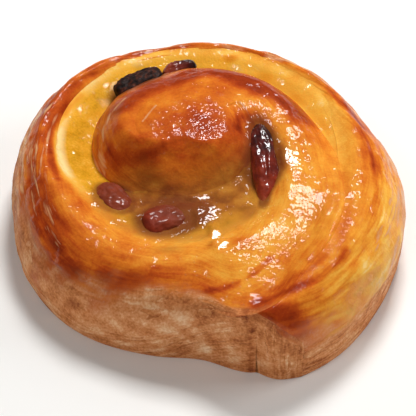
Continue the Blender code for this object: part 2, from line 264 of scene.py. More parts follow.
def pastRaisin(points, raisin):
    # mm past the raisin's outline on the plan: r (1 - 1/e), where e is 1 on the ellipse, curved
    # and narrowed as the raisin is
    middle, way = raisinPlace(raisin)
    away = points[..., :2] - middle[:2]
    along = away[..., 0] * math.cos(way) + away[..., 1] * math.sin(way)
    across = away[..., 1] * math.cos(way) - away[..., 0] * math.sin(way)
    axis = np.clip(2 * along / raisin["size"][0], -1, 1)
    across = across - raisin["curve"] * (1 - axis**2)
    narrow = smoothThrough(raisin["girth"], (axis + 1) / 2)
    e = 2 * np.hypot(along / raisin["size"][0], across / raisin["size"][1] / narrow)
    return np.hypot(along, across) * (1 - 1 / np.maximum(e, 0.05))


def raisinRims(points, scale=1.0):
    # the dough stands up as a rim round each raisin: rim * exp(-((d - 0.5) / 0.8)^2), where d is
    # the mm past its outline
    total = np.zeros(points.shape[:-1])
    for raisin in raisins:
        past = pastRaisin(points, raisin)
        total += scale * raisin["rim"] * np.exp(-(((past - 0.5) / 0.8) ** 2))
    return total


def softNoise(points, size, seed=0):
    # value noise: a number from -1 to 1 at each corner of a grid with this cell size, from a hash
    # of the corner's whole numbers, blended in each cell with 6u^5 - 15u^4 + 10u^3
    cell = points / size
    corner = np.floor(cell).astype(np.int64)
    u = cell - corner
    u = u * u * u * (u * (u * 6 - 15) + 10)
    total = 0.0
    for step in itertools.product((0, 1), repeat=3):
        key = (corner + step).astype(np.uint64) * np.array((73856093, 19349663, 83492791), np.uint64)
        mixed = key[..., 0] ^ key[..., 1] ^ key[..., 2] ^ np.uint64(seed * 2654435761 % 2**32)
        mixed = (mixed ^ (mixed >> np.uint64(13))) * np.uint64(1274126177)
        value = ((mixed ^ (mixed >> np.uint64(16))) & np.uint64(0xFFFF)).astype(float) / 32767.5 - 1
        weight = np.prod(np.where(np.array(step) == 1, u, 1 - u), axis=-1)
        total = total + weight * value
    return total


def layeredNoise(points, size, octaves=3, seed=0):
    # softNoise at sizes that halve, each octave 0.55 as strong as the one before
    total = 0.0
    for octave in range(octaves):
        total = total + 0.55**octave * softNoise(points, size / 2**octave, seed + octave)
    return total


def gridQuads(index):
    # the corners of each cell of a grid of point numbers
    return np.stack([index[:-1, :-1], index[1:, :-1], index[1:, 1:], index[:-1, 1:]], -1).reshape(-1, 4)


def hexColour(text):
    # sRGB hex to linear light
    channels = np.array([int(text[i:i + 2], 16) for i in (1, 3, 5)]) / 255
    linear = np.where(channels <= 0.04045, channels / 12.92, ((channels + 0.055) / 1.055) ** 2.4)
    return (*linear.tolist(), 1.0)


def addNode(tree, kind, inputs=None, stops=None, **settings):
    # adds a node; an input is linked where it is given a socket and set where it is given a value,
    # and a colour ramp takes its stops from (place, hex) pairs
    node = tree.nodes.new(kind)
    for key, value in settings.items():
        setattr(node, key, value)
    for key, value in (inputs or {}).items():
        if isinstance(value, bpy.types.NodeSocket):
            tree.links.new(value, node.inputs[key])
        else:
            node.inputs[key].default_value = value
    for spare in range(len(stops or ()) - 2):
        node.color_ramp.elements.new(0.5)
    for element, (place, text) in zip(node.color_ramp.elements if stops else (), stops or ()):
        element.position = place
        element.color = hexColour(text)
    return node.outputs[0]


def newMaterial(name, **constants):
    # a Principled material, with constants for the sockets of these names
    material = bpy.data.materials.new(name)
    material.use_nodes = True
    shader = material.node_tree.nodes["Principled BSDF"]
    for key, value in constants.items():
        shader.inputs[key.replace("_", " ")].default_value = value
    return material, material.node_tree, shader


def meshObject(name, points, faces, material, uv=None, attributes=None):
    # a smooth mesh with its place in it, its UV map and an attribute at each point
    mesh = bpy.data.meshes.new(name)
    mesh.from_pydata(points.tolist(), [], [list(face) for face in faces])
    if uv is not None:
        layer = mesh.uv_layers.new(name="unrolled")
        layer.data.foreach_set("uv", np.concatenate(uv).astype(np.float32).ravel())
    for key, values in (attributes or {}).items():
        layer = mesh.attributes.new(key, "FLOAT", "POINT")
        layer.data.foreach_set("value", values.astype(np.float32))
    mesh.shade_smooth()
    mesh.materials.append(material)
    made = bpy.data.objects.new(name, mesh)
    bpy.context.scene.collection.objects.link(made)
    return made


print("camera, lights and floor")
view = {
    "target": (0.00018, -0.00267, 0.009),
    "elevation": 45.0,
    "distance": 0.450,
    "lens": 191.3,
}


def makeCamera():
    tilt = math.radians(view["elevation"])
    data = bpy.data.cameras.new("camera")
    data.lens = view["lens"]
    data.clip_start = 0.01
    camera = bpy.data.objects.new("camera", data)
    x, y, z = view["target"]
    camera.location = (x, y - view["distance"] * math.cos(tilt), z + view["distance"] * math.sin(tilt))
    camera.rotation_euler = (math.pi / 2 - tilt, 0, 0)
    bpy.context.scene.collection.objects.link(camera)
    bpy.context.scene.camera = camera


lights = [
    # name, azimuth from the viewer's side anticlockwise seen from above, elevation, distance, size,
    # watts, and whether the glaze mirrors it
    ("back softbox", 165, 58, 0.60, 0.17, 3.0, True),
    ("front fill", -30, 42, 0.90, 0.50, 2.1, False),
    ("right fill", 100, 30, 0.80, 0.40, 2.3, False),
]
skyStrength = 0.13
mirroredSky = 0.05           # weaker where the glaze mirrors it


def makeLights():
    for name, azimuth, elevation, distance, size, power, mirrored in lights:
        data = bpy.data.lights.new(name, "AREA")
        data.shape = "SQUARE"
        data.size = size
        data.energy = power
        light = bpy.data.objects.new(name, data)
        light.visible_glossy = mirrored
        turn, rise = math.radians(azimuth), math.radians(elevation)
        light.location = (
            distance * math.cos(rise) * math.sin(turn),
            -distance * math.cos(rise) * math.cos(turn),
            distance * math.sin(rise),
        )
        light.rotation_euler = (math.pi / 2 - rise, 0, turn)
        bpy.context.scene.collection.objects.link(light)
    world = bpy.data.worlds.new("studio")
    world.use_nodes = True
    sky = world.node_tree.nodes["Background"].inputs
    sky["Color"].default_value = hexColour("#FFFDFA")
    mirrored = addNode(world.node_tree, "ShaderNodeLightPath").node.outputs["Is Glossy Ray"]
    strength = addNode(world.node_tree, "ShaderNodeMapRange",
                       {"Value": mirrored, "To Min": skyStrength, "To Max": mirroredSky})
    world.node_tree.links.new(strength, sky["Strength"])
    bpy.context.scene.world = world
    bpy.context.scene.view_settings.view_transform = "Standard"


def makeFloor():
    material, tree, shader = newMaterial("matte white card", Roughness=0.9)
    shader.inputs["Base Color"].default_value = hexColour("#F6F5F2")
    corners = np.array([(-2, -2, 0), (2, -2, 0), (2, 2, 0), (-2, 2, 0)], float)
    floor = meshObject("floor", corners, [np.arange(4)], material)


makeCamera()
makeLights()
makeFloor()


print("dough")
dough = {
    # depth and size of the loaf's lumps, its dimples, and the wrinkles where the glaze is grainy
    "lumps": (0.24, 11.0),
    "dimples": (0.10, 3.2),
    "wrinkles": (0.09, 1.8),
    # the relief fades out over so many mm at the seams and at the foot, and the rims round the
    # raisins stand only above this height
    "calmEdge": 1.2,
    "calmFoot": 1.5,
    "rimsAbove": 12,
    # lamination lines: depth, spacing, length and which of their values lies level; how far they
    # drift, and the size of the patches in which they do
    "layerDepth": 0.24,
    "layerSpacing": 1.5,
    "layerLength": 13.0,
    "layerLevel": 0.4,
    "layerDrift": 0.6,
    "driftSize": 7.0,
    # Places across the strip are in mm past its outer edge, the outline's widest line. Where the
    # lamination lines begin and are whole, on the mound and on the strip, and how deep they are,
    # on the strip by turn
    "moundLayersFrom": (-7.0, -2.0),
    "moundLayerShare": 0.35,
    "layersFrom": (-11.0, -3.0),
    "layerShare": [
        (1.00, 0.10), (1.30, 0.30), (1.36, 0.45), (1.45, 0.80), (1.60, 1.0), (2.05, 1.0), (2.2, 0.7),
        (2.3, 0.4),
    ],
    "outlineTurns": (1.28, 1.31),        # over which the strip's outer side becomes the outline
    # where the pale wall begins
    "paleFrom": [
        (1.30, -1.0), (1.34, -2.6), (1.39, -2.8), (1.44, -1.6), (1.50, -1.6), (1.58, -2.2), (1.64, -2.4),
        (1.75, -1.8), (1.90, -1.2), (2.05, -1.4), (2.12, -1.0), (2.18, 0.2), (2.24, 0.0),
        (2.28, 0.0), (2.30, 0.0),
    ],
    # how many mm that edge wanders, more with the drift, in patches of this size, and how much less
    # at the tail; and over how many mm on both sides it fades, with what is added between two turns
    # at the front and at the tail
    "paleWander": 1.2,
    "paleDrift": 1.4,
    "paleSize": 3.0,
    "tailWander": 0.5,
    "paleFade": 1.0,
    "frontFade": ((1.36, 1.62, 0.05), 1.6),
    "tailFade": ((2.10, 2.40, 0.05), 0.8),
    # browning along the strip, 0 cream to 1 scorched: at its inner side, on its crest, at the shoulder
    "innerBake": [
        (1.00, 0.56), (1.08, 0.40), (1.20, 0.33), (1.34, 0.28), (1.44, 0.34), (1.52, 0.28),
        (1.57, 0.07), (1.70, 0.07), (1.78, 0.18), (1.95, 0.24), (2.05, 0.24), (2.12, 0.28),
        (2.20, 0.40), (2.30, 0.50),
    ],
    "crestBake": [
        (1.00, 0.52), (1.08, 0.40), (1.20, 0.34), (1.30, 0.36), (1.45, 0.46), (1.56, 0.49),
        (1.68, 0.54), (1.78, 0.57), (1.90, 0.50), (2.05, 0.42), (2.16, 0.46), (2.30, 0.52),
    ],
    "shoulderBake": [
        (1.00, 0.56), (1.12, 0.40), (1.24, 0.42), (1.30, 0.52), (1.36, 0.54), (1.45, 0.66),
        (1.58, 0.62), (1.70, 0.66), (1.80, 0.72), (1.90, 0.72), (2.06, 0.60), (2.14, 0.38),
        (2.24, 0.38), (2.30, 0.60),
    ],
    # where the shoulder's browning is reached, and over how many mm
    "shoulderFrom": [(1.68, -6.0), (1.80, -3.2), (2.06, -3.0), (2.16, -6.0)],
    "shoulderFade": 3.4,
    # how many mm from the channel's edge the crest's browning is reached
    "lipWidth": [(1.00, 5.5), (1.46, 5.0), (1.56, 2.4), (1.72, 2.4), (1.80, 3.5), (2.30, 5.5)],
    "moundBake": 0.57,
    "driftBake": 0.05,                   # how much it varies in patches, and with the lines
    "layerBake": 0.10,
    # how streaky it is, and how much more: on the strip towards its rim, over these turns, but not
    # at the channel's edge, and on the mound towards its foot
    "streaks": (0.40, 0.60),
    "streaksFrom": (-8, -4),
    "streakTurns": (1.3, 1.5),
    "calmLip": (0.5, 4.0),
    "calmLipTurns": (1.1, 1.3),
    "moundStreaks": (0.15, 0.6),
    "moundStreaksFrom": (-6, -1),
    # how flaky the outer rim is: from, to and fading over so many mm across it, and by turn
    "flakyRim": (-4.0, 2.4, 1.5),
    "rimFlakes": [
        (1.28, 0.0), (1.40, 0.2), (1.50, 0.5), (1.58, 1.0), (1.72, 0.9), (2.06, 0.85), (2.14, 0.9),
        (2.22, 0.5), (2.30, 0.0),
    ],
    # the same on the rim's inner side at the left, in mm and in turns, and how strongly; and where
    # the mound's foot begins to be flaky and is whole, and how strongly
    "leftRim": (-8.4, -3.5, 1.0),
    "leftTurns": (1.47, 1.79, 0.04),
    "leftFlakes": 0.8,
    "footFrom": (-1.2, -0.2),
    "footFlakes": 0.9,
    "darkest": 0.8,                      # of all the browning
    "markStrength": 0.75,                # of the lines and patches below
    "marksEnd": 3,                       # mm past the outline's widest line
    # browner (+) and paler (-) lines of the crust, two of the paler ones painted highlights along the tail's
    # rim and its ridge: width, amount and path, in mm on the plan
    "browningAndHighlightLines": [
        # painted highlight: a paler band along the tail's outer rim, where the light catches its edge
        (3.2, -0.12, [(37.5, -8), (35.5, -18), (31.8, -26.5), (28, -32.5), (24, -36.8)]),
        (1.3, 0.36, [(-26.4, 23.8), (-29.3, 19.6), (-30.9, 15.8), (-31.7, 11.8), (-31.6, 5.9),
                     (-31.4, 1.4), (-30.0, -3.6)]),
        (1.6, 0.14, [(-32.9, 18.5), (-34.7, 12), (-35.4, 5), (-35, -5), (-33, -14), (-29, -20)]),
        (1.1, 0.18, [(-33, -4), (-32, -10), (-27, -17)]),
        (4.0, 0.12, [(10, -37.5), (15, -35.5), (19, -32), (22, -27)]),
        (1.3, 0.12, [(-28, -13), (-24, -19), (-18, -24), (-10, -27.5)]),
        (1.8, 0.13, [(-16, -28.5), (-8, -28.2), (0, -27.5), (5, -28.5)]),
        (1.0, 0.4, [(8.5, -30), (10.5, -28), (12.3, -26)]),
        (1.0, 0.34, [(0, -33.2), (3, -33), (6, -31.8)]),
        (1.3, 0.3, [(9, -36.2), (13, -35.6), (17, -34.6), (21, -32.5), (24.5, -29), (27, -25)]),
        (0.9, 0.16, [(12, -33.5), (16, -32.4), (20, -30), (23, -26.5)]),
        # painted highlight: a paler line along the tail's ridge, where the glaze glints
        (1.0, -0.18, [(12, -38.5), (18, -36.4), (22.5, -33), (25.5, -29)]),
        (1.3, 0.26, [(28.5, 20), (31.5, 10), (33.5, 0), (33.8, -8), (32.5, -15)]),
        (0.9, 0.15, [(25, 24), (29, 15), (31.4, 5), (31.8, -3)]),
        (1.6, 0.16, [(27.5, -4), (28.2, -12), (27, -19), (25.5, -25)]),
        (4.2, 0.42, [(-18, 13.5), (-13, 18), (-8, 21), (-1, 24.5), (3, 24.6), (8, 21), (13, 18),
                     (17, 15.5)]),
        (1.4, 0.24, [(-20, 4), (-18, 1.5), (-14, 0), (-9, 0.5)]),
        (1.5, 0.2, [(6.2, 6.5), (7.0, 9.3), (9.5, 10.4), (12.2, 9)]),
        (1.6, 0.1, [(6.4, 6), (6.8, 0), (7.5, -6)]),
    ],
    # and patches: middle, reach along and across, heading in degrees, and amount
    "bakeSpots": [
        (4.9, 35.2, 2.6, 1.8, 0, 0.45),
        (12, 29.8, 3.5, 1.8, -30, 0.28),
        (18.5, 22, 3.5, 2.5, -50, 0.18),
        (-29.5, -20, 5, 2.2, -50, 0.2),
        (-26, -24.5, 4.2, 1.8, -42, 0.22),
        (-20, -27.5, 2.8, 1.8, -25, 0.3),
        (-14, -30, 3.4, 1.6, -12, 0.18),
        (-33.5, -12, 1.6, 4.5, 20, 0.08),
        (-24.5, -10.5, 2.6, 3.8, 30, 0.14),
        (14, -40, 7.5, 2.8, 8, 0.4),
        (9, -37.8, 2.8, 1.6, 0, 0.2),
        (18.5, 14, 7, 4.5, -50, 0.3),
        (-3, 5.5, 11, 7, 0, 0.24),
        (-7, 13.5, 8, 2.8, 15, -0.14),
        (7, 14, 5.5, 4, -20, -0.18),
        (-1, -3, 10, 2.6, 0, -0.14),
        (-11, -0.8, 3, 1.8, -20, 0.14),
        (6, -24, 4, 5, 0, 0.14),
        (18.5, 10.5, 3.5, 5, 0, 0.34),
    ],
    # edges of lifted, paler layers on the rim
    "flakeLines": [
        (0.8, 0.75, [(-33.4, -2.6), (-33.0, 4.7), (-32.4, 12.9), (-30.5, 20.4), (-27.7, 26.5), (-23, 32.5)]),
        (0.7, 0.7, [(-32.5, 3), (-32.4, 8.9), (-31.3, 15.2), (-29.0, 21.8)]),
        (0.9, 0.7, [(-34.6, -8), (-33, -13), (-29.5, -18.5), (-25, -22.5)]),
        (0.8, 0.7, [(-20, -25), (-14, -27.2), (-8, -28), (-3, -29)]),
        (0.9, 0.8, [(-13, 36.6), (-4, 38.3), (5, 38.0), (14, 35.0), (21.5, 30)]),
        (1.6, 1.0, [(18, 32.5), (24, 27), (28, 21.5), (31.2, 15)]),
        (1.3, 1.15, [(-20.6, 1.5), (-21.6, 5), (-21.5, 9), (-19.8, 13), (-17, 16.5)]),
        (0.8, 1.2, [(-13.0, 7.4), (-11.8, 9.6), (-10.4, 11.9)]),
    ],
    # pale (-) and dark (+) lines of the front wall, in mm across and up; they lie in front of this
    # y, and begin over these mm across the strip's edge
    "frontFrom": -20,
    "wallFrom": (-4, -1),
    "wallLines": [
        (1.4, -0.32, [(-17.5, 14.6), (-12.4, 13.6), (-7.4, 12.8), (-5, 12), (-2.8, 9.9), (-1.3, 7.3),
                      (0.2, 3.5)]),
        (1.3, -0.2, [(-14, 10), (-8, 9.5), (-4, 7), (-2, 3)]),
        (1.4, -0.2, [(-22, 9), (-15, 6.5), (-8, 5.5)]),
        (1.4, -0.24, [(-26, 6), (-18, 3.2), (-9, 2.4)]),
        (1.4, -0.2, [(1.5, 13.5), (3.6, 9), (4.4, 3)]),
        # painted shade: a dark line down the notch, where the outer turn meets the outline
        (1.3, 0.45, [(7.0, 18), (7.9, 15.5), (8.3, 13)]),
        (1.3, 0.2, [(8.3, 13), (8.4, 7), (8.9, 1)]),
        (1.6, 0.26, [(10.5, 16.6), (14, 14.6), (18.2, 12.6)]),
    ],
}

# What runs over from the custard's channel, over the crust beside it
runOver = {
    # how much of the custard's yellow the dough has, by the channel's turn, where it ends in mm
    # past the channel's outer edge, and over how many mm it fades
    "share": [
        (0.13, 0.0), (0.26, 0.7), (0.36, 1.0), (0.78, 1.0), (0.86, 0.72), (0.96, 0.45), (1.06, 0.25),
        (1.13, 0.0),
    ],
    "ends": [(0.30, 0.0), (0.48, -0.6), (0.56, -1.2), (0.72, -1.2), (0.82, -0.4), (1.10, -0.2)],
    "fade": 1.3,
    # between which turns brown syrup fills the channel, and over what share of a turn it fades; and
    # where it begins on the mound's foot, and is whole
    "wetTurns": (0.16, 0.50, 0.06),
    "wetFoot": (-6.5, -2.4),
    # more of the syrup, and of the raisins' juice, as the patches of the crust
    "syrup": [
        (-7.5, -23, 4.5, 2.4, 0, 0.45),
        (5, -8, 5, 5, 0, 0.4),
        (8.4, -12.5, 3.5, 3.5, 0, 0.4),
        (-20, 12, 3.5, 9, -10, 0.3),
        (-18.5, -5, 6.5, 4.5, -45, 0.45),
    ],
    "deepestJuice": 0.85,
    "juice": [
        (-5.0, -10.2, 8.5, 4.6, 12, 1.0),
        (-13.5, -7.0, 6.0, 3.6, -25, 0.55),
    ],
    # where the syrup stands higher in the channel, over a raisin, in mm
    "swells": [
        (-3.4, -10.4, 5.5, 4.0, 10, 0.9),
    ],
}

glazing = {
    "thickness": 0.42,
    "thinnest": 0.03,
    "onStains": 0.5,                     # how much of it is left out where juice has stained,
    "onWall": 0.85,                      # and on the pale wall, over so many mm past its edge
    "wallFrom": (-1.5, 2.5),
    # thicker (+), so that it mirrors the light, and thinner (-), in patches and along lines
    "spots": [
        (17, -1.5, 3.4, 7.0, 0, 0.6),
        (19, -11, 5.0, 5.0, 0, 0.06),
        (15, -24, 11, 5.5, 10, -0.22),
        (9, -31, 11, 5.0, 0, -0.2),
        (0.6, -13.2, 4.0, 3.6, 0, 0.5),
        (-6.5, -9.6, 8, 4.0, 10, -0.6),
        (4.5, -8.4, 5.0, 3.6, 20, -0.45),
        (2.6, -2.2, 7, 3.5, 0, 0.35),
        (1.0, -19.0, 4.5, 5.0, 0, 0.6),
        (3.0, -24, 3.5, 3.0, 0, 0.6),
        (4, -29, 10, 4, 0, -0.2),
        (18.5, -31, 6, 3.4, 35, -0.35),
        (0, 5, 15, 10, 0, 0.45),
        (11, 13, 8, 6, -40, 0.32),
        (-2, 19, 20, 7, 5, -0.42),
        (-14, 12, 8, 9, -40, -0.3),
        (-16, 3, 7, 9, 0, -0.25),
    ],
    "lines": [
        (4.0, -0.36, [(10.5, -39), (15.8, -36), (20.5, -31), (24.3, -24), (27, -15)]),
    ],
    # how grainy it is with tiny bubbles, which sparkle: everywhere, and more in patches
    "sparkle": 0.2,
    "sparkles": [
        (-1, 6, 19, 13, 0, 1.0),
        (0.2, -13, 4.5, 4.5, 0, 0.3),
        (3, -2.5, 8, 4, 0, 0.8),
        (11, 13, 9, 7, -40, 0.7),
        (17, -4, 7, 14, 0, 0.25),
        (6, -4, 4, 8, 0, 0.4),
        (24, 16, 6, 14, 30, 0.6),
        (14, -24, 10, 6, 10, 0.4),
    ],
    # pools, each a flat patch that leans so that it mirrors the light to the front: middle, reach
    # along and across, and heading
    "pools": [
        (-1.0, -7.6, 4.0, 1.1, 0),
        (-1.0, -11.8, 2.4, 1.8, 20),
        (1.3, -12.0, 2.2, 2.8, -10),
        (-0.4, -14.4, 2.8, 2.0, 10),
        (1.6, -18.6, 1.6, 2.2, 0),
        (2.7, -23.0, 2.9, 2.4, -20),
        (16.8, -0.5, 2.8, 4.6, 0),
        (23.6, -15.3, 1.0, 2.0, -10),
        (19.1, -21.2, 2.4, 1.0, 20),
        (22.3, -19.4, 1.1, 1.0, 0),
        (30.1, -17.7, 1.0, 1.5, 0),
        (-30.2, 7.7, 1.0, 1.0, 0),
        (-29.2, 13.1, 0.9, 0.9, 0),
        (-27.2, 7.3, 0.9, 0.9, 0),
        (-26.4, 20.6, 0.9, 0.7, 50),
        (-23.9, 25.3, 0.8, 0.8, 0),
        (-21.4, 27.4, 0.9, 0.7, 40),
        (-22.4, -8.9, 1.1, 1.1, 0),
    ],
    "poolLean": (-0.08, 0.113),
    "poolHeight": 0.15,
    "poolEdge": 2.2,                     # how steep its edge is
    "poolGlaze": 0.8,                    # how much thicker the glaze is there
}


def within(low, high, soft, at):
    # 1 between low and high, fading to 0 over soft at both ends
    return ease(low - soft, low + soft, at) * (1 - ease(high - soft, high + soft, at))


def strokes(points, lines):
    # the sum of the lines' amounts, each (1 - u^2)^2 of the distance to its path over its width
    total = np.zeros(len(points))
    for width, amount, path in lines:
        corners = np.array(path, float)
        nearest = np.full(len(points), np.inf)
        for start, end in zip(corners[:-1], corners[1:]):
            way = end - start
            t = np.clip((points[:, :2] - start) @ way / (way @ way), 0, 1)
            nearest = np.minimum(nearest, np.linalg.norm(points[:, :2] - start - t[:, None] * way, axis=1))
        total += amount * np.clip(1 - (nearest / width) ** 2, 0, 1) ** 2
    return total


def spots(points, marks):
    # the sum of the marks' amounts, each (1 - u^2)^2 of the distance in an ellipse's own measure
    total = np.zeros(points.shape[:-1])
    for x, y, reachAlong, reachAcross, heading, amount in marks:
        way = math.radians(heading)
        away = points[..., :2] - np.array((x, y))
        along = away[..., 0] * math.cos(way) + away[..., 1] * math.sin(way)
        across = away[..., 1] * math.cos(way) - away[..., 0] * math.sin(way)
        reach = (along / reachAlong) ** 2 + (across / reachAcross) ** 2
        total += amount * np.clip(1 - reach, 0, 1) ** 2
    return total


def browningAndHighlightMarks(points):
    # how much browner (+) or paler (-) the crust is by its lines and patches; two of the paler lines are
    # painted highlights along the tail
    return dough["markStrength"] * (strokes(points, dough["browningAndHighlightLines"]) + spots(points, dough["bakeSpots"]))


def pour(points, isOn):
    # draws the surface in each pool towards its leaning plane, through the height at its middle
    for pool in glazing["pools"]:
        weight = np.minimum(glazing["poolEdge"] * spots(points, [(*pool, 1.0)]), 1) * isOn
        away = points[:, :2] - pool[:2]
        middle = np.argmin(np.hypot(away[:, 0], away[:, 1]) + 99 * (1 - isOn))
        plane = points[middle, 2] + glazing["poolHeight"] + away @ glazing["poolLean"]
        points[:, 2] += weight * (plane - points[:, 2])


def raisinStains(points):
    # how far the raisins' juice has browned what is round them, 0 to 1
    total = np.clip(spots(points, runOver["juice"]), 0, runOver["deepestJuice"])
    for raisin in raisins:
        past = pastRaisin(points, raisin)
        total = np.maximum(total, raisin["stain"] * (1 - ease(0.3, raisin["stainReach"], past)))
    return total


def channelLooks(points, turn, beyond):
    # what runs over from the custard onto the dough, 0 to 1: the custard's yellow, brown syrup and
    # the raisins' stains; turn is the channel's, and beyond the mm past its outer edge
    past = beyond - smoothThrough(runOver["ends"], turn)
    filling = smoothThrough(runOver["share"], turn) * (1 - ease(-runOver["fade"], runOver["fade"], past))
    # half of the syrup is gone at the channel's outer edge, and all of it 3 mm past that
    wet = 1 - 0.5 * ease(-6, 0, beyond) - 0.5 * ease(0.5, 3, beyond)
    syrup = within(*runOver["wetTurns"], turn) * wet + spots(points, runOver["syrup"])
    return filling, np.clip(syrup, 0, 1), raisinStains(points)


def glazeLooks(points, thickness):
    # how thick the glaze is, and how grainy
    glaze = thickness + spots(points, glazing["spots"]) + strokes(points, glazing["lines"])
    glaze = glaze * (1 - glazing["onStains"] * raisinStains(points))
    glaze = glaze + spots(points, [(*pool, glazing["poolGlaze"]) for pool in glazing["pools"]])
    sparkle = glazing["sparkle"] + spots(points, glazing["sparkles"])
    return np.clip(glaze, glazing["thinnest"], 1), np.clip(sparkle, 0, 1)


def alongWinding(turn):
    # length of the strip's outer edge up to this turn
    turns = np.linspace(winding["coreTurn"], winding["tailTurn"], 800)
    lengths = np.concatenate([[0], np.cumsum(2 * math.pi * seamRadius(turns[1:]) * np.diff(turns))])
    return np.interp(turn, turns, lengths)


def wallBelow(loop, rows, inset, foot=0.0):
    # each rim point carried straight down to its foot, drawn in on a quarter round at the foot
    way = np.roll(loop[:, :2], -1, axis=0) - np.roll(loop[:, :2], 1, axis=0)
    outward = np.stack([-way[:, 1], way[:, 0]], -1)
    outward = outward / np.linalg.norm(outward, axis=1, keepdims=True)
    down = np.linspace(0, 1, rows + 1)[None, :]
    drawnIn = inset * (1 - np.sqrt(1 - down**2))
    x = loop[:, :1] - outward[:, :1] * drawnIn
    y = loop[:, 1:2] - outward[:, 1:2] * drawnIn
    z = foot + (loop[:, 2:3] - foot) * (1 - down)
    return np.stack([x, y, z], -1)


def doughSurface():
    # every grid of the dough: its top, the outer wall and the channel's wall, with the point that
    # each grid point is joined to, so that neighbouring turns and walls share their edges
    perTurn, strips = winding["stationsPerTurn"], winding["strips"]
    stations = round((winding["tailTurn"] - winding["coreTurn"]) * perTurn)
    turns = winding["coreTurn"] + np.arange(stations + 1) / perTurn
    shares = (1 - np.cos(math.pi * np.linspace(0, 1, strips + 1))) / 2
    turn, share = np.meshgrid(turns, shares, indexing="ij")
    top = topOfDough(turn, share)
    number = np.arange(turn.size).reshape(turn.shape)
    joined = number.copy()
    isOpen = channelHalf(turns[:-perTurn]) > 0
    joined[perTurn:, 0] = np.where(isOpen, number[perTurn:, 0], number[:-perTurn, -1])
    joined[:perTurn + 1, 0] = 0
    joined[0, :] = 0
    points = np.stack([top["x"], top["y"], top["z"]], -1)
    along = np.where(turn < 1, winding["moundGirth"] * (turn + (turn < 0)),
                     winding["moundGirth"] + alongWinding(turn) - alongWinding(1))
    unrolled = np.stack([along, top["toRim"]], -1)
    facts = {"turn": turn, "share": share, "across": top["across"],
             "toRim": top["toRim"], "wall": 0 * turn, "along": along}
    quads = gridQuads(number)
    parts = [(points, joined, unrolled, facts)]

    notch = round((winding["notchTurn"] - winding["coreTurn"]) * perTurn)
    rim = np.concatenate([number[notch:, -1], number[-1, -2:0:-1]])
    openAt = np.flatnonzero(isOpen)
    first, last = openAt[0] - 1, openAt[-1] + 1
    lip = np.concatenate([number[first:last + 1, -1], number[perTurn + last - 1:perTurn + first:-1, 0]])
    start = number.size
    for side, loop, rows, inset in ((1, rim, winding["wallRows"], winding["baseInset"]),
                                    (2, lip, winding["channelRows"], 0.0)):
        atLoop = points.reshape(-1, 3)[loop]
        wall = wallBelow(atLoop, rows, inset)
        own = start + np.arange(wall.shape[0] * (rows + 1)).reshape(-1, rows + 1)
        start += own.size
        shared = own.copy()
        shared[:, 0] = joined.ravel()[loop]
        down = atLoop[:, 2:3] * np.linspace(0, 1, rows + 1)[None, :]
        step = np.linalg.norm(np.diff(atLoop[:, :2], axis=0, prepend=atLoop[:1, :2]), axis=1)
        along = unrolled.reshape(-1, 2)[loop[0], 0] + np.cumsum(step)[:, None] + 0 * down
        level = {key: facts[key].ravel()[loop][:, None] + 0 * down for key in ("turn", "share", "across")}
        level.update(toRim=down, wall=side + 0 * down, along=along)
        # lines run along the wall, and upright on the end face
        upright = ((level["turn"] > winding["tailTurn"] - 1e-6) & (level["share"] < 0.999))[..., None]
        wallUnrolled = np.where(upright, np.stack([down, along], -1), np.stack([along, down], -1))
        parts.append((wall, shared, wallUnrolled, level))
        quads = np.concatenate([quads, gridQuads(np.concatenate([own, own[:1]]))])
    joinedAll = np.concatenate([part[1].ravel() for part in parts])
    pointsAll = np.concatenate([part[0].reshape(-1, 3) for part in parts])
    unrolledAll = np.concatenate([part[2].reshape(-1, 2) for part in parts])
    factsAll = {key: np.concatenate([part[3][key].ravel() for part in parts]) for key in facts}
    return pointsAll, joinedAll, unrolledAll, factsAll, quads


def cleanFaces(quads, joined):
    # quads whose corners are all apart, and as triangles those that have two corners in one point
    faces = joined[quads]
    apart = np.stack([faces[:, i] != faces[:, (i + 1) % 4] for i in range(4)], -1)
    corners = [quads[apart.all(axis=1)]]
    for gone in range(4):
        rest = [i for i in range(4) if i != gone]
        kept = quads[(~apart[:, gone]) & (apart.sum(axis=1) == 3)]
        corners.append(kept[:, rest])
    return corners


def pointNormals(points, faces):
    # the faces' normals, weighted by area, summed at each point
    normals = np.zeros_like(points)
    for group in faces:
        diagonal = points[group[:, 2]] - points[group[:, 0]]
        other = points[group[:, -1]] - points[group[:, 1]]
        face = np.cross(diagonal, other)
        for corner in range(group.shape[1]):
            np.add.at(normals, group[:, corner], face)
    return normals / np.maximum(np.linalg.norm(normals, axis=1, keepdims=True), 1e-12)


def stripBake(turn, across):
    # browning from the channel's edge to the crest
    inner, crest = smoothThrough(dough["innerBake"], turn), smoothThrough(dough["crestBake"], turn)
    return inner + (crest - inner) * ease(0.1, 1.0, across / smoothThrough(dough["lipWidth"], turn))


def paleEdge(points, turn, drift, lines):
    # the ragged edge between the glazed crust and the pale wall: where it is, and over how many mm
    # on both sides it fades
    (frontTurns, frontFade), (tailTurns, tailFade) = dough["frontFade"], dough["tailFade"]
    atTail = within(*tailTurns, turn)
    ragged = dough["paleDrift"] * drift + lines + layeredNoise(points, dough["paleSize"], 3, seed=23)
    ragged = dough["paleWander"] * ragged * (1 - dough["tailWander"] * atTail)
    fade = dough["paleFade"] + frontFade * within(*frontTurns, turn) + tailFade * atTail
    return smoothThrough(dough["paleFrom"], turn) + ragged, fade


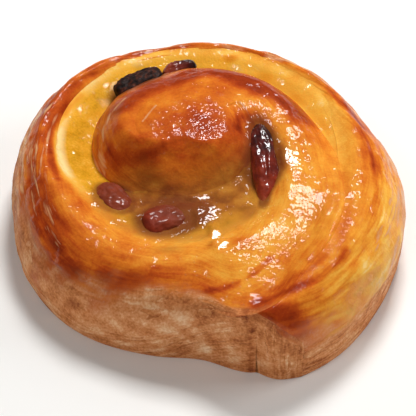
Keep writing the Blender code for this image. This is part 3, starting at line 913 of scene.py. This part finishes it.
def doughRelief(points, facts, outside, lines, layerShare, sparkle):
    # how many mm each point stands out: lumps, dimples, lamination lines and glaze wrinkles, which
    # fade out at the seams and at the foot, where the pieces of the surface meet, and the rims round
    # the raisins
    toRim, across, isTop = facts["toRim"], facts["across"], facts["wall"] == 0
    (lumpDepth, lumpSize), (dimpleDepth, dimpleSize), (wrinkleDepth, wrinkleSize) = (
        dough[key] for key in ("lumps", "dimples", "wrinkles"))
    relief = lumpDepth * layeredNoise(points, lumpSize, 2, seed=3)
    relief = relief + dimpleDepth * layeredNoise(points, dimpleSize, 2, seed=4)
    relief = relief + dough["layerDepth"] * layerShare * (lines - dough["layerLevel"])
    relief = relief + wrinkleDepth * sparkle * layeredNoise(points, wrinkleSize, 2, seed=17)
    edge = np.where(outside > 0.5, across, np.minimum(-toRim, across))
    edge = np.where(isTop, np.where(facts["turn"] < 1, -toRim, edge), np.inf)
    relief = relief * ease(0, dough["calmEdge"], edge) * ease(0, dough["calmFoot"], points[:, 2])
    return relief + raisinRims(points) * (points[:, 2] > dough["rimsAbove"]) * isTop


def doughFlakes(points, turn, toRim, outside, onTop):
    # how flaky the crust is: on the rim, on its inner side at the left, at the mound's foot and
    # along the lines
    flakes = outside * within(*dough["flakyRim"], toRim) * smoothThrough(dough["rimFlakes"], turn)
    leftRim = within(*dough["leftTurns"], turn) * within(*dough["leftRim"], toRim)
    foot = (turn < 1) * ease(*dough["footFrom"], toRim)
    for band in (dough["leftFlakes"] * leftRim, strokes(points, dough["flakeLines"]) * onTop,
                 dough["footFlakes"] * foot):
        flakes = np.maximum(flakes, band)
    return flakes


def doughStreaks(turn, toRim, across):
    # how streaky the browning is, on the strip and on the mound
    least, more = dough["streaks"]
    onStrip = least + more * ease(*dough["streaksFrom"], toRim) * ease(*dough["streakTurns"], turn)
    lip = 1 - ease(*dough["calmLip"], across)
    onStrip = onStrip * (1 - ease(*dough["calmLipTurns"], turn) * lip)
    least, more = dough["moundStreaks"]
    return np.where(turn < 1, least + more * ease(*dough["moundStreaksFrom"], toRim), onStrip)


def doughLooks(points, facts):
    # how far each point stands out along its normal, and its attributes for the finish
    turn, toRim, across, wall = (facts[key] for key in ("turn", "toRim", "across", "wall"))
    onMound, isTop = turn < 1, wall == 0
    outside = np.maximum(ease(*dough["outlineTurns"], turn) * (wall < 1.5), wall == 1)
    drift = layeredNoise(points, dough["driftSize"], 2, seed=11)
    acrossLayers = toRim / dough["layerSpacing"] + dough["layerDrift"] * drift
    lines = layeredNoise(np.stack([facts["along"] / dough["layerLength"], acrossLayers, 0 * turn], -1),
                         1.0, 3, seed=5)
    layerShare = smoothThrough(dough["layerShare"], turn) * ease(*dough["layersFrom"], toRim) * ~onMound
    moundShare = dough["moundLayerShare"] * onMound * ease(*dough["moundLayersFrom"], toRim)
    layerShare = np.maximum(layerShare, moundShare)

    bake = stripBake(turn, across)
    fullyBrown = smoothThrough(dough["shoulderFrom"], turn)
    shoulder = ease(-dough["shoulderFade"], 0, toRim - fullyBrown)
    bake = bake + (smoothThrough(dough["shoulderBake"], turn) - bake) * shoulder
    bake = np.where(onMound, dough["moundBake"], bake)
    onTop = 1 - ease(0, dough["marksEnd"], toRim * outside)
    # browning lines and patches, with the painted highlights along the tail's rim and ridge
    marks = browningAndHighlightMarks(points) * onTop
    bake = bake + marks + dough["driftBake"] * drift - dough["layerBake"] * layerShare * lines
    front = (points[:, 1] < dough["frontFrom"]) * ease(*dough["wallFrom"], toRim) * outside
    # the front wall's lines, with the painted shade in the notch
    marks = marks + strokes(points[:, (0, 2)], dough["wallLines"]) * front
    paleFrom, fade = paleEdge(points, turn, drift, lines)

    filling, syrup, stain = channelLooks(points, turn - 1, across)
    wetMound = within(*runOver["wetTurns"], turn + (turn < 0)) * ease(*runOver["wetFoot"], toRim)
    wetMound = np.clip(wetMound + spots(points, runOver["syrup"]), 0, 1)
    glaze, sparkle = glazeLooks(points, glazing["thickness"])
    unglazed = glazing["onWall"] * outside * ease(*glazing["wallFrom"], toRim - paleFrom)
    attributes = {"bake": np.clip(bake, 0, dough["darkest"]), "marks": marks,
                  "pale": outside * ease(-fade, fade, toRim - paleFrom),
                  "flakes": doughFlakes(points, turn, toRim, outside, onTop),
                  "streaky": doughStreaks(turn, toRim, across),
                  "filling": filling * ~onMound * isTop, "stain": stain * isTop,
                  "syrup": np.where(onMound, wetMound, syrup * onTop),
                  "glaze": glaze * (1 - unglazed), "sparkle": sparkle}
    return doughRelief(points, facts, outside, lines, layerShare, sparkle), attributes


def closeMesh(mesh):
    # fills an open foot and points every face outward
    bm = bmesh.new()
    bm.from_mesh(mesh)
    edges = [edge for edge in bm.edges if edge.is_boundary]
    if edges:
        bmesh.ops.triangle_fill(bm, edges=edges, use_beauty=True)
    bmesh.ops.recalc_face_normals(bm, faces=bm.faces)
    for face in bm.faces:
        face.smooth = True
    bm.to_mesh(mesh)
    bm.free()


def makeDough(material):
    points, joined, unrolled, facts, quads = doughSurface()
    corners = cleanFaces(quads, joined)
    faces = [joined[group] for group in corners]
    relief, attributes = doughLooks(points, facts)
    points = points + pointNormals(points, faces) * relief[:, None]
    pour(points, (facts["wall"] == 0) & (facts["turn"] > 1.1))
    used, order = np.unique(np.concatenate([group.ravel() for group in faces]), return_inverse=True)
    pieces = np.split(order, np.cumsum([group.size for group in faces])[:-1])
    renumbered = [piece.reshape(group.shape) for piece, group in zip(pieces, faces)]
    uv = [unrolled[group].reshape(-1, 2) * mm for group in corners]
    attributes = {key: values[used] for key, values in attributes.items()}
    everyFace = [face for group in renumbered for face in group]
    loaf = meshObject("laminated_dough", points[used] * mm, everyFace, material, uv, attributes)
    closeMesh(loaf.data)
    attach(loaf, "root")
    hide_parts("dough")
    rows = round((winding["tailTurn"] - winding["coreTurn"]) * winding["stationsPerTurn"]) + 1
    return points[:rows * (winding["strips"] + 1)].reshape(rows, -1, 3)


def crustColour(tree, place, bake):
    # browning from cream to scorched, with blotches of 3.5 mm and mottling of 0.5 mm
    blotches = addNode(tree, "ShaderNodeTexNoise", {"Vector": place, "Scale": 1 / 0.0035, "Detail": 4.0})
    mottling = addNode(tree, "ShaderNodeTexNoise", {"Vector": place, "Scale": 1 / 0.0005, "Detail": 2.0})
    blotches, mottling = (addNode(tree, "ShaderNodeMath", {0: noise, 1: 0.5}, operation="SUBTRACT")
                          for noise in (blotches, mottling))
    tone = bake
    for noise, strength in ((blotches, 0.38), (mottling, 0.16)):
        tone = addNode(tree, "ShaderNodeMath", {0: noise, 1: strength, 2: tone}, operation="MULTIPLY_ADD")
    crust = addNode(tree, "ShaderNodeValToRGB", {"Fac": tone}, stops=[
        (0.00, "#F8DC98"), (0.18, "#F0B44A"), (0.35, "#E69530"), (0.50, "#D4721F"), (0.65, "#B94E16"),
        (0.80, "#98340F"), (1.00, "#6C220C")])
    return crust, blotches, mottling


def channelColour(tree, place, colour, blotches, mottling):
    # over the crust: golden pastry cream, darker in its grain, then olive to brown syrup, then the
    # purple-brown juice of the raisins, each by its attribute
    filling, syrup, stain = (addNode(tree, "ShaderNodeAttribute", attribute_name=name).node.outputs["Fac"]
                             for name in ("filling", "syrup", "stain"))
    grainy = 0.5
    for noise, strength in ((mottling, 0.6), (blotches, 0.8)):
        grainy = addNode(tree, "ShaderNodeMath", {0: noise, 1: strength, 2: grainy}, operation="MULTIPLY_ADD")
    cream = addNode(tree, "ShaderNodeValToRGB", {"Fac": grainy}, stops=[
        (0.15, "#B27814"), (0.38, "#D49519"), (0.60, "#E6A42A"), (0.85, "#F2C05C")])
    colour = addNode(tree, "ShaderNodeMixRGB", {"Fac": filling, "Color1": colour, "Color2": cream})
    murky = addNode(tree, "ShaderNodeMath", {0: blotches, 1: 2.0, 2: 0.5}, operation="MULTIPLY_ADD")
    murky = addNode(tree, "ShaderNodeValToRGB", {"Fac": murky}, stops=[
        (0.20, "#7C3E1A"), (0.50, "#9E5A20"), (0.80, "#B4742A")])
    thin = addNode(tree, "ShaderNodeMath", {0: syrup, 1: 0.92}, operation="MULTIPLY")
    colour = addNode(tree, "ShaderNodeMixRGB", {"Fac": thin, "Color1": colour, "Color2": murky})
    return addNode(tree, "ShaderNodeMixRGB", {"Fac": stain, "Color1": colour,
                                              "Color2": hexColour("#6E321C")})


# a thin clear coat of sugar glaze over a soft, damp crumb
glazedSurface = {"Coat_Roughness": 0.06, "Coat_IOR": 1.42, "IOR": 1.2, "Specular_IOR_Level": 0.14}


def doughMaterial():
    # laminated dough, egg-washed, baked and glazed: golden to red-brown with streaks along the
    # strip where the layers browned unevenly, glossy on top, and pale, flaky and dull at the wall
    material, tree, shader = newMaterial("glazed laminated dough", Subsurface_Weight=0.12,
                                         Subsurface_Scale=0.4, **glazedSurface)
    shader.inputs["Subsurface Radius"].default_value = (0.003, 0.0014, 0.0006)
    place = addNode(tree, "ShaderNodeTexCoord").node.outputs["Object"]
    strip = addNode(tree, "ShaderNodeUVMap", uv_map="unrolled")
    bake, pale, glaze, streaky, flakes, marks = (
        addNode(tree, "ShaderNodeAttribute", attribute_name=name).node.outputs["Fac"]
        for name in ("bake", "pale", "glaze", "streaky", "flakes", "marks"))
    # streaks along the strip, 7 mm long and 0.7 mm wide
    streakPlace = addNode(tree, "ShaderNodeMapping", {"Vector": strip, "Scale": (1 / 0.007, 1 / 0.0007, 1)})
    streaks = addNode(tree, "ShaderNodeTexNoise", {"Vector": streakPlace, "Scale": 1.0, "Detail": 2.0,
                                                   "Distortion": 0.4})
    streaks = addNode(tree, "ShaderNodeMath", {0: streaks, 1: 0.5}, operation="SUBTRACT")
    streaks = addNode(tree, "ShaderNodeMath", {0: streaks, 1: streaky}, operation="MULTIPLY")
    tone = addNode(tree, "ShaderNodeMath", {0: streaks, 1: 0.62, 2: bake}, operation="MULTIPLY_ADD")
    crust, blotches, mottling = crustColour(tree, place, tone)
    # the flaked skin: thin layers 6 mm long and 1.6 mm wide, each darkening to its lifted edge, that dark
    # side painted shade under the layer above, and thin pale lines along the outer rim
    layerPlace = addNode(tree, "ShaderNodeMapping", {"Vector": strip, "Scale": (1 / 0.006, 1 / 0.0016, 1)})
    layers = addNode(tree, "ShaderNodeTexNoise", {"Vector": layerPlace, "Scale": 1.0, "Detail": 3.0,
                                                  "Distortion": 0.3})
    layers = addNode(tree, "ShaderNodeMath", {0: layers, 1: 3.0}, operation="MULTIPLY")
    layers = addNode(tree, "ShaderNodeMath", {0: layers}, operation="FRACT")
    flakeTone = 0.41
    # the layers' saw-tooth tone is painted shade under each lifted layer
    for pattern, strength in ((streaks, 0.62), (layers, 0.18), (blotches, 0.65), (mottling, 0.48),
                              (marks, -0.6)):
        flakeTone = addNode(tree, "ShaderNodeMath", {0: pattern, 1: strength, 2: flakeTone},
                            operation="MULTIPLY_ADD")
    flaky = addNode(tree, "ShaderNodeValToRGB", {"Fac": flakeTone}, stops=[
        (0.05, "#5E2820"), (0.28, "#A25A32"), (0.48, "#CC824E"), (0.62, "#DC9A68"), (0.85, "#F2CAA0")])
    lifted = addNode(tree, "ShaderNodeMath", {0: flakes, 1: 0.34, 2: streaks}, operation="MULTIPLY_ADD")
    lifted = addNode(tree, "ShaderNodeMapRange", {"Value": lifted, "From Min": 0.30, "From Max": 0.42})
    crust = addNode(tree, "ShaderNodeMixRGB", {"Fac": lifted, "Color1": crust,
                                               "Color2": hexColour("#D89C6C")})
    colour = addNode(tree, "ShaderNodeMixRGB", {"Fac": pale, "Color1": crust, "Color2": flaky})
    colour = channelColour(tree, place, colour, blotches, mottling)
    tree.links.new(colour, shader.inputs["Base Color"])

    dullness = addNode(tree, "ShaderNodeMapRange", {"Value": glaze, "To Min": 0.65, "To Max": 0.42})
    tree.links.new(dullness, shader.inputs["Roughness"])
    tree.links.new(glaze, shader.inputs["Coat Weight"])

    grain = addNode(tree, "ShaderNodeBump", {"Height": mottling, "Distance": 0.00012, "Strength": 0.6})
    grain = addNode(tree, "ShaderNodeBump", {"Height": streaks, "Distance": 0.00020, "Strength": 0.7,
                                             "Normal": grain})
    grain = addNode(tree, "ShaderNodeBump", {"Height": layers, "Distance": 0.00022, "Strength": pale,
                                             "Normal": grain})
    tree.links.new(grain, shader.inputs["Normal"])
    tree.links.new(wetSkin(tree, place), shader.inputs["Coat Normal"])
    return material


def wetSkin(tree, place):
    # the glaze's skin: wrinkles 1.4 mm across, which break the light into glints, grains of 0.9 mm
    # that sparkle, and beads of glaze
    sparkle = addNode(tree, "ShaderNodeAttribute", attribute_name="sparkle").node.outputs["Fac"]
    skin = addNode(tree, "ShaderNodeTexNoise", {"Vector": place, "Scale": 1 / 0.0014, "Detail": 1.0})
    wrinkles = addNode(tree, "ShaderNodeBump", {"Height": skin, "Distance": 0.00014, "Strength": 1.0})
    grains = addNode(tree, "ShaderNodeTexNoise", {"Vector": place, "Scale": 1 / 0.0009, "Detail": 1.0})
    wrinkles = addNode(tree, "ShaderNodeBump", {"Height": grains, "Distance": 0.00034,
                                                "Strength": sparkle, "Normal": wrinkles})
    beads = addNode(tree, "ShaderNodeTexVoronoi", {"Vector": place, "Scale": 1 / 0.0017},
                    feature="SMOOTH_F1")
    where = addNode(tree, "ShaderNodeTexNoise", {"Vector": place, "Scale": 1 / 0.0045, "Detail": 1.0})
    where = addNode(tree, "ShaderNodeMapRange", {"Value": where, "From Min": 0.54, "From Max": 0.66,
                                                 "To Min": 0.0, "To Max": -1.0})
    beads = addNode(tree, "ShaderNodeMath", {0: beads, 1: where}, operation="MULTIPLY")
    return addNode(tree, "ShaderNodeBump", {"Height": beads, "Distance": 0.0006, "Strength": 1.0,
                                            "Normal": wrinkles})


crustGrid = makeDough(doughMaterial())


print("custard")
custard = {
    "turns": (0.125, 1.130),
    "stations": 420,
    "strips": 32,
    "wallRows": 3,
    # how far it runs on over the foot of the mound and of the strip outside it, by turn
    "innerReach": [
        (0.12, 2.0), (0.20, 2.6), (0.42, 2.6), (0.54, 1.2), (0.64, 0.6), (0.96, 0.6), (1.10, 1.4),
    ],
    "outerReach": [
        (0.12, 1.2), (0.20, 1.6), (0.45, 2.8), (0.60, 1.8), (0.80, 2.4), (0.92, 3.0), (1.10, 2.8),
    ],
    # it rises with their surface, at most so steeply
    "climb": [(0.55, 0.6), (0.78, 0.9), (0.88, 2.0), (1.10, 2.0)],
    "softening": 6,                      # rounds of smoothing across the band
    "rise": 0.24,                        # it stands so far above them, in mm, at the channel's edge
    "under": 0.05,                       # and ends so far below
    # and so far above them at its start and its end, over these spans of turns
    "startRise": 0.05,
    "startSpan": 0.03,
    "endRise": -0.35,
    "endSpan": 0.13,
    "crown": -0.2,                       # how far its middle stands up, or sinks (-)
    "ripples": (0.16, 3.0),              # depth and size
    "rimStrength": 0.8,                  # of its own rims round the raisins
    "foot": 0.4,                         # height of its foot, and how far outside the channel's
    "footPast": 0.1,                     # edge that lies
    # how wet its skin is, by turn
    "glaze": [(0.15, 0.3), (0.42, 0.3), (0.52, 0.4), (0.60, 0.2), (0.78, 0.2), (0.88, 0.4), (1.1, 0.4)],
}


def onCrust(crustGrid, turn, share):
    # the finished dough's point at a turn and share, from the four grid points round it
    row = np.clip((turn - winding["coreTurn"]) * winding["stationsPerTurn"], 0, len(crustGrid) - 1.001)
    column = np.arccos(1 - 2 * np.clip(share, 0, 1)) / math.pi * winding["strips"]
    column = np.clip(column, 0, winding["strips"] - 0.001)
    i, j = row.astype(int), column.astype(int)
    u, v = (row - i)[..., None], (column - j)[..., None]
    near = crustGrid[i, j] * (1 - v) + crustGrid[i, j + 1] * v
    far = crustGrid[i + 1, j] * (1 - v) + crustGrid[i + 1, j + 1] * v
    return near * (1 - u) + far * u


def makeCustard(material, crustGrid):
    # a band along the seam: level between the channel's edges, and past them on the finished dough,
    # above it by (rise + under) (1 - d/reach)^2 - under, so that the two meet smoothly
    turns = np.linspace(*custard["turns"], custard["stations"] + 1)
    sides = np.sin(0.5 * math.pi * np.linspace(-1, 1, custard["strips"] + 1))
    turn, side = np.meshgrid(turns, sides, indexing="ij")
    half = channelHalf(turn)
    reach = np.where(side < 0, smoothThrough(custard["innerReach"], turn),
                     smoothThrough(custard["outerReach"], turn))
    offset = (half + reach) * side
    past = np.maximum(np.abs(offset) - half, 0)
    width = np.where(side < 0, seamRadius(turn) - half - seamRadius(turn - 1) - channelHalf(turn - 1),
                     seamRadius(turn + 1) - channelHalf(turn + 1) - seamRadius(turn) - half)
    share = past / width
    onFoot = onCrust(crustGrid, turn + (side >= 0), np.where(side < 0, 1 - share, share))
    across = np.clip(offset / np.maximum(half, 0.01), -1, 1)
    innerEdge = onCrust(crustGrid, turn, np.ones_like(turn))
    outerEdge = onCrust(crustGrid, turn + 1, np.zeros_like(turn))
    edge = innerEdge + (outerEdge - innerEdge) * (across[..., None] + 1) / 2
    points = np.where((past > 0)[..., None], onFoot, edge)
    points[..., 2] = np.minimum(points[..., 2], edge[..., 2] + smoothThrough(custard["climb"], turn) * past)
    starting = 1 - ease(0, custard["startSpan"], turn - turns[0])
    ending = ease(-custard["endSpan"], 0, turn - turns[-1])
    above = (custard["rise"] + custard["under"]) * (1 - past / reach) ** 2 - custard["under"]
    middle = 1 - across**4
    points[..., 2] += above * (1 - starting - ending) + custard["crown"] * middle
    points[..., 2] += custard["startRise"] * starting + custard["endRise"] * ending
    for softening in range(custard["softening"]):
        points[:, 1:-1, 2] = (points[:, :-2, 2] + 2 * points[:, 1:-1, 2] + points[:, 2:, 2]) / 4
    rippleDepth, rippleSize = custard["ripples"]
    points[..., 2] += rippleDepth * layeredNoise(points, rippleSize, 2, seed=21) * middle
    points[..., 2] += (raisinRims(points, custard["rimStrength"]) + spots(points, runOver["swells"])) * middle
    flat = points.reshape(-1, 3)
    pour(flat, 1.0 + 0 * turn.ravel())
    number = np.arange(turn.size).reshape(turn.shape)
    loop = np.concatenate([number[:, -1], number[-1, -2:0:-1], number[::-1, 0], number[0, 1:-1]])
    rows = custard["wallRows"]
    inset = reach.ravel()[loop][:, None] - custard["footPast"]
    wall = wallBelow(flat[loop], rows, inset, custard["foot"])
    below = number.size + np.arange(len(loop) * rows).reshape(-1, rows)
    wallNumber = np.concatenate([loop[:, None], below], axis=1)
    quads = np.concatenate([gridQuads(number), gridQuads(np.concatenate([wallNumber, wallNumber[:1]]))])
    allPoints = np.concatenate([flat, wall[:, 1:].reshape(-1, 3)])
    beyond = (offset - half).ravel()
    filling, syrup, stain = channelLooks(flat, turn.ravel(), beyond)
    bake = stripBake(turn.ravel() + 1, beyond) + browningAndHighlightMarks(flat)
    bake = bake + dough["driftBake"] * layeredNoise(flat, dough["driftSize"], 2, seed=11)
    glaze, sparkle = glazeLooks(flat, smoothThrough(custard["glaze"], turn.ravel()))
    attributes = {"bake": np.clip(bake, 0, dough["darkest"]), "filling": filling, "syrup": syrup,
                  "stain": stain, "glaze": glaze, "sparkle": sparkle}
    # the wall has the looks of the edge above it
    attributes = {key: np.concatenate([values, np.repeat(values[loop], rows)])
                  for key, values in attributes.items()}
    band = meshObject("custard_band", allPoints * mm, quads, material, attributes=attributes)
    closeMesh(band.data)
    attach(band, "root")
    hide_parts("custard")


def custardMaterial():
    # baked pastry cream: golden, slightly grainy, with a wet skin, browned where it meets the crust
    material, tree, shader = newMaterial("baked pastry cream", Roughness=0.55, Subsurface_Weight=0.15,
                                         Subsurface_Scale=0.5, **glazedSurface)
    shader.inputs["Subsurface Radius"].default_value = (0.003, 0.0015, 0.0006)
    place = addNode(tree, "ShaderNodeTexCoord").node.outputs["Object"]
    bake, glaze = (addNode(tree, "ShaderNodeAttribute", attribute_name=name).node.outputs["Fac"]
                   for name in ("bake", "glaze"))
    crust, blotches, mottling = crustColour(tree, place, bake)
    colour = channelColour(tree, place, crust, blotches, mottling)
    tree.links.new(colour, shader.inputs["Base Color"])
    tree.links.new(glaze, shader.inputs["Coat Weight"])
    grain = addNode(tree, "ShaderNodeBump", {"Height": mottling, "Distance": 0.00012, "Strength": 0.6})
    tree.links.new(grain, shader.inputs["Normal"])
    tree.links.new(wetSkin(tree, place), shader.inputs["Coat Normal"])
    return material


makeCustard(custardMaterial(), crustGrid)


print("raisins")
raisinForm = {
    "grid": (120, 72),                   # rings and sides
    "bluntness": 0.6,                    # the smaller, the blunter its ends
    "creases": 0.07,                     # depth, as a share of its radius,
    "creaseScale": (8, 10, 10),          # and how fine they are along and across it
    "twist": 0.7,                        # how far the folds turn from its middle to its end,
    "wander": 2.2,                       # how far they stray,
    "sharpness": 1.6,                    # and how narrow they are
    "unevenness": 0.03,                  # of its length
    "shading": (0.2, 0.95),              # where its colour begins and ends to change along it
}


def makeRaisin(raisin, material):
    # a body turned about X, girth sin(pi u)^bluntness by its table, curved sideways by 1 - x^2; its
    # radius is cut by folds, which run twisting from end to end, and by small creases; u runs from
    # end to end and v round it
    rings, sides = raisinForm["grid"]
    u, v = np.meshgrid(np.linspace(0, 1, rings + 1), np.linspace(0, 2 * math.pi, sides + 1)[:-1],
                       indexing="ij")
    axis = -np.cos(math.pi * u)
    girth = np.sin(math.pi * u) ** raisinForm["bluntness"] * smoothThrough(raisin["girth"], u)
    ball = np.stack([axis, girth * np.cos(v), girth * np.sin(v)], -1) / 2
    seed = round(raisin["turn"] * 1000)
    wander = 0.9 * layeredNoise(ball * 2 + seed, 0.9, 2, seed=seed)
    fold = raisin["folds"] * (v + raisinForm["twist"] * axis) + raisinForm["wander"] * wander
    fold = 0.5 + 0.5 * np.cos(fold)
    creases = layeredNoise(ball * raisinForm["creaseScale"] + seed, 1.0, 3, seed=seed + 7)
    folds = raisin["depth"] * fold ** raisinForm["sharpness"] * girth
    radius = 1 - folds - raisinForm["creases"] * creases * girth
    length = 1 + raisinForm["unevenness"] * wander
    form = ball * np.stack([length, radius, radius], -1) * raisin["size"]
    form[..., 1] += raisin["curve"] * (1 - axis**2)
    middle, way = raisinPlace(raisin)
    dip = math.radians(raisin["dip"])
    nod = np.array([[math.cos(dip), 0, math.sin(dip)], [0, 1, 0], [-math.sin(dip), 0, math.cos(dip)]])
    swing = np.array([[math.cos(way), -math.sin(way), 0], [math.sin(way), math.cos(way), 0], [0, 0, 1]])
    points = form @ (swing @ nod).T + middle
    number = 2 + np.arange(points[1:-1, :, 0].size).reshape(rings - 1, sides)
    number = np.concatenate([number, number[:, :1]], axis=1)
    quads = gridQuads(number)[:, ::-1]
    first = np.stack([0 * number[0, 1:], number[0, :-1], number[0, 1:]], -1)
    last = np.stack([0 * number[0, 1:] + 1, number[-1, 1:], number[-1, :-1]], -1)
    allPoints = np.concatenate([points[:1, 0], points[-1:, 0], points[1:-1].reshape(-1, 3)])
    ends = np.concatenate([u[:1, 0], u[-1:, 0], u[1:-1].ravel()])
    faces = [face for group in (first, quads, last) for face in group]
    shading = ease(*raisinForm["shading"], ends)
    shades = {key: raisin[key][0] + (raisin[key][1] - raisin[key][0]) * shading
              for key in ("red", "veil")}
    shades["wet"] = raisin["wet"] + 0 * ends
    made = meshObject("plump_raisin_" + raisin["name"], allPoints * mm, faces, material,
                      attributes=shades)
    closeMesh(made.data)
    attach(made, "root")
    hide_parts("raisin_" + raisin["name"])


def raisinMaterial():
    # a soaked raisin: near-black purple skin under glaze, red to pinkish brown where it is thin
    material, tree, shader = newMaterial("glazed raisin skin", Roughness=0.5, Specular_IOR_Level=0.12,
                                         Coat_Roughness=0.05)
    place = addNode(tree, "ShaderNodeTexCoord").node.outputs["Object"]
    red, veil, wet = (addNode(tree, "ShaderNodeAttribute", attribute_name=name).node.outputs["Fac"]
                      for name in ("red", "veil", "wet"))
    tree.links.new(wet, shader.inputs["Coat Weight"])
    wrinkled = addNode(tree, "ShaderNodeMapRange", {"Value": veil, "To Min": 1.0, "To Max": 0.15})
    patches = addNode(tree, "ShaderNodeTexNoise", {"Vector": place, "Scale": 1 / 0.0022, "Detail": 3.0})
    tone = addNode(tree, "ShaderNodeMath", {0: patches, 1: 0.5}, operation="SUBTRACT")
    tone = addNode(tree, "ShaderNodeMath", {0: tone, 1: 0.8, 2: red}, operation="MULTIPLY_ADD")
    colour = addNode(tree, "ShaderNodeValToRGB", {"Fac": tone}, stops=[
        (0.00, "#180A0C"), (0.25, "#3A1110"), (0.50, "#6E1F12"), (0.75, "#903018"), (1.00, "#B05A34")])
    colour = addNode(tree, "ShaderNodeMixRGB", {"Fac": veil, "Color1": colour,
                                                "Color2": hexColour("#7A3A24")})
    tree.links.new(colour, shader.inputs["Base Color"])
    bump = addNode(tree, "ShaderNodeBump", {"Height": patches, "Distance": 0.0004, "Strength": wrinkled})
    tree.links.new(bump, shader.inputs["Normal"])
    tree.links.new(bump, shader.inputs["Coat Normal"])
    return material


def burntMaterial():
    # a raisin scorched in the oven: nearly black, rough and dull, brown where less burnt
    material, tree, shader = newMaterial("scorched raisin skin", Roughness=0.8, Coat_Weight=0.04,
                                         Coat_Roughness=0.3, Specular_IOR_Level=0.2)
    place = addNode(tree, "ShaderNodeTexCoord").node.outputs["Object"]
    patches = addNode(tree, "ShaderNodeTexNoise", {"Vector": place, "Scale": 1 / 0.0010, "Detail": 4.0})
    colour = addNode(tree, "ShaderNodeValToRGB", {"Fac": patches}, stops=[
        (0.35, "#120A08"), (0.52, "#2C1610"), (0.70, "#5A2A1A")])
    tree.links.new(colour, shader.inputs["Base Color"])
    bump = addNode(tree, "ShaderNodeBump", {"Height": patches, "Distance": 0.0004, "Strength": 1.0})
    tree.links.new(bump, shader.inputs["Normal"])
    return material


soaked, scorched = raisinMaterial(), burntMaterial()
for raisin in raisins:
    isBurnt = raisin["name"] == "burnt"
    makeRaisin(raisin, scorched if isBurnt else soaked)
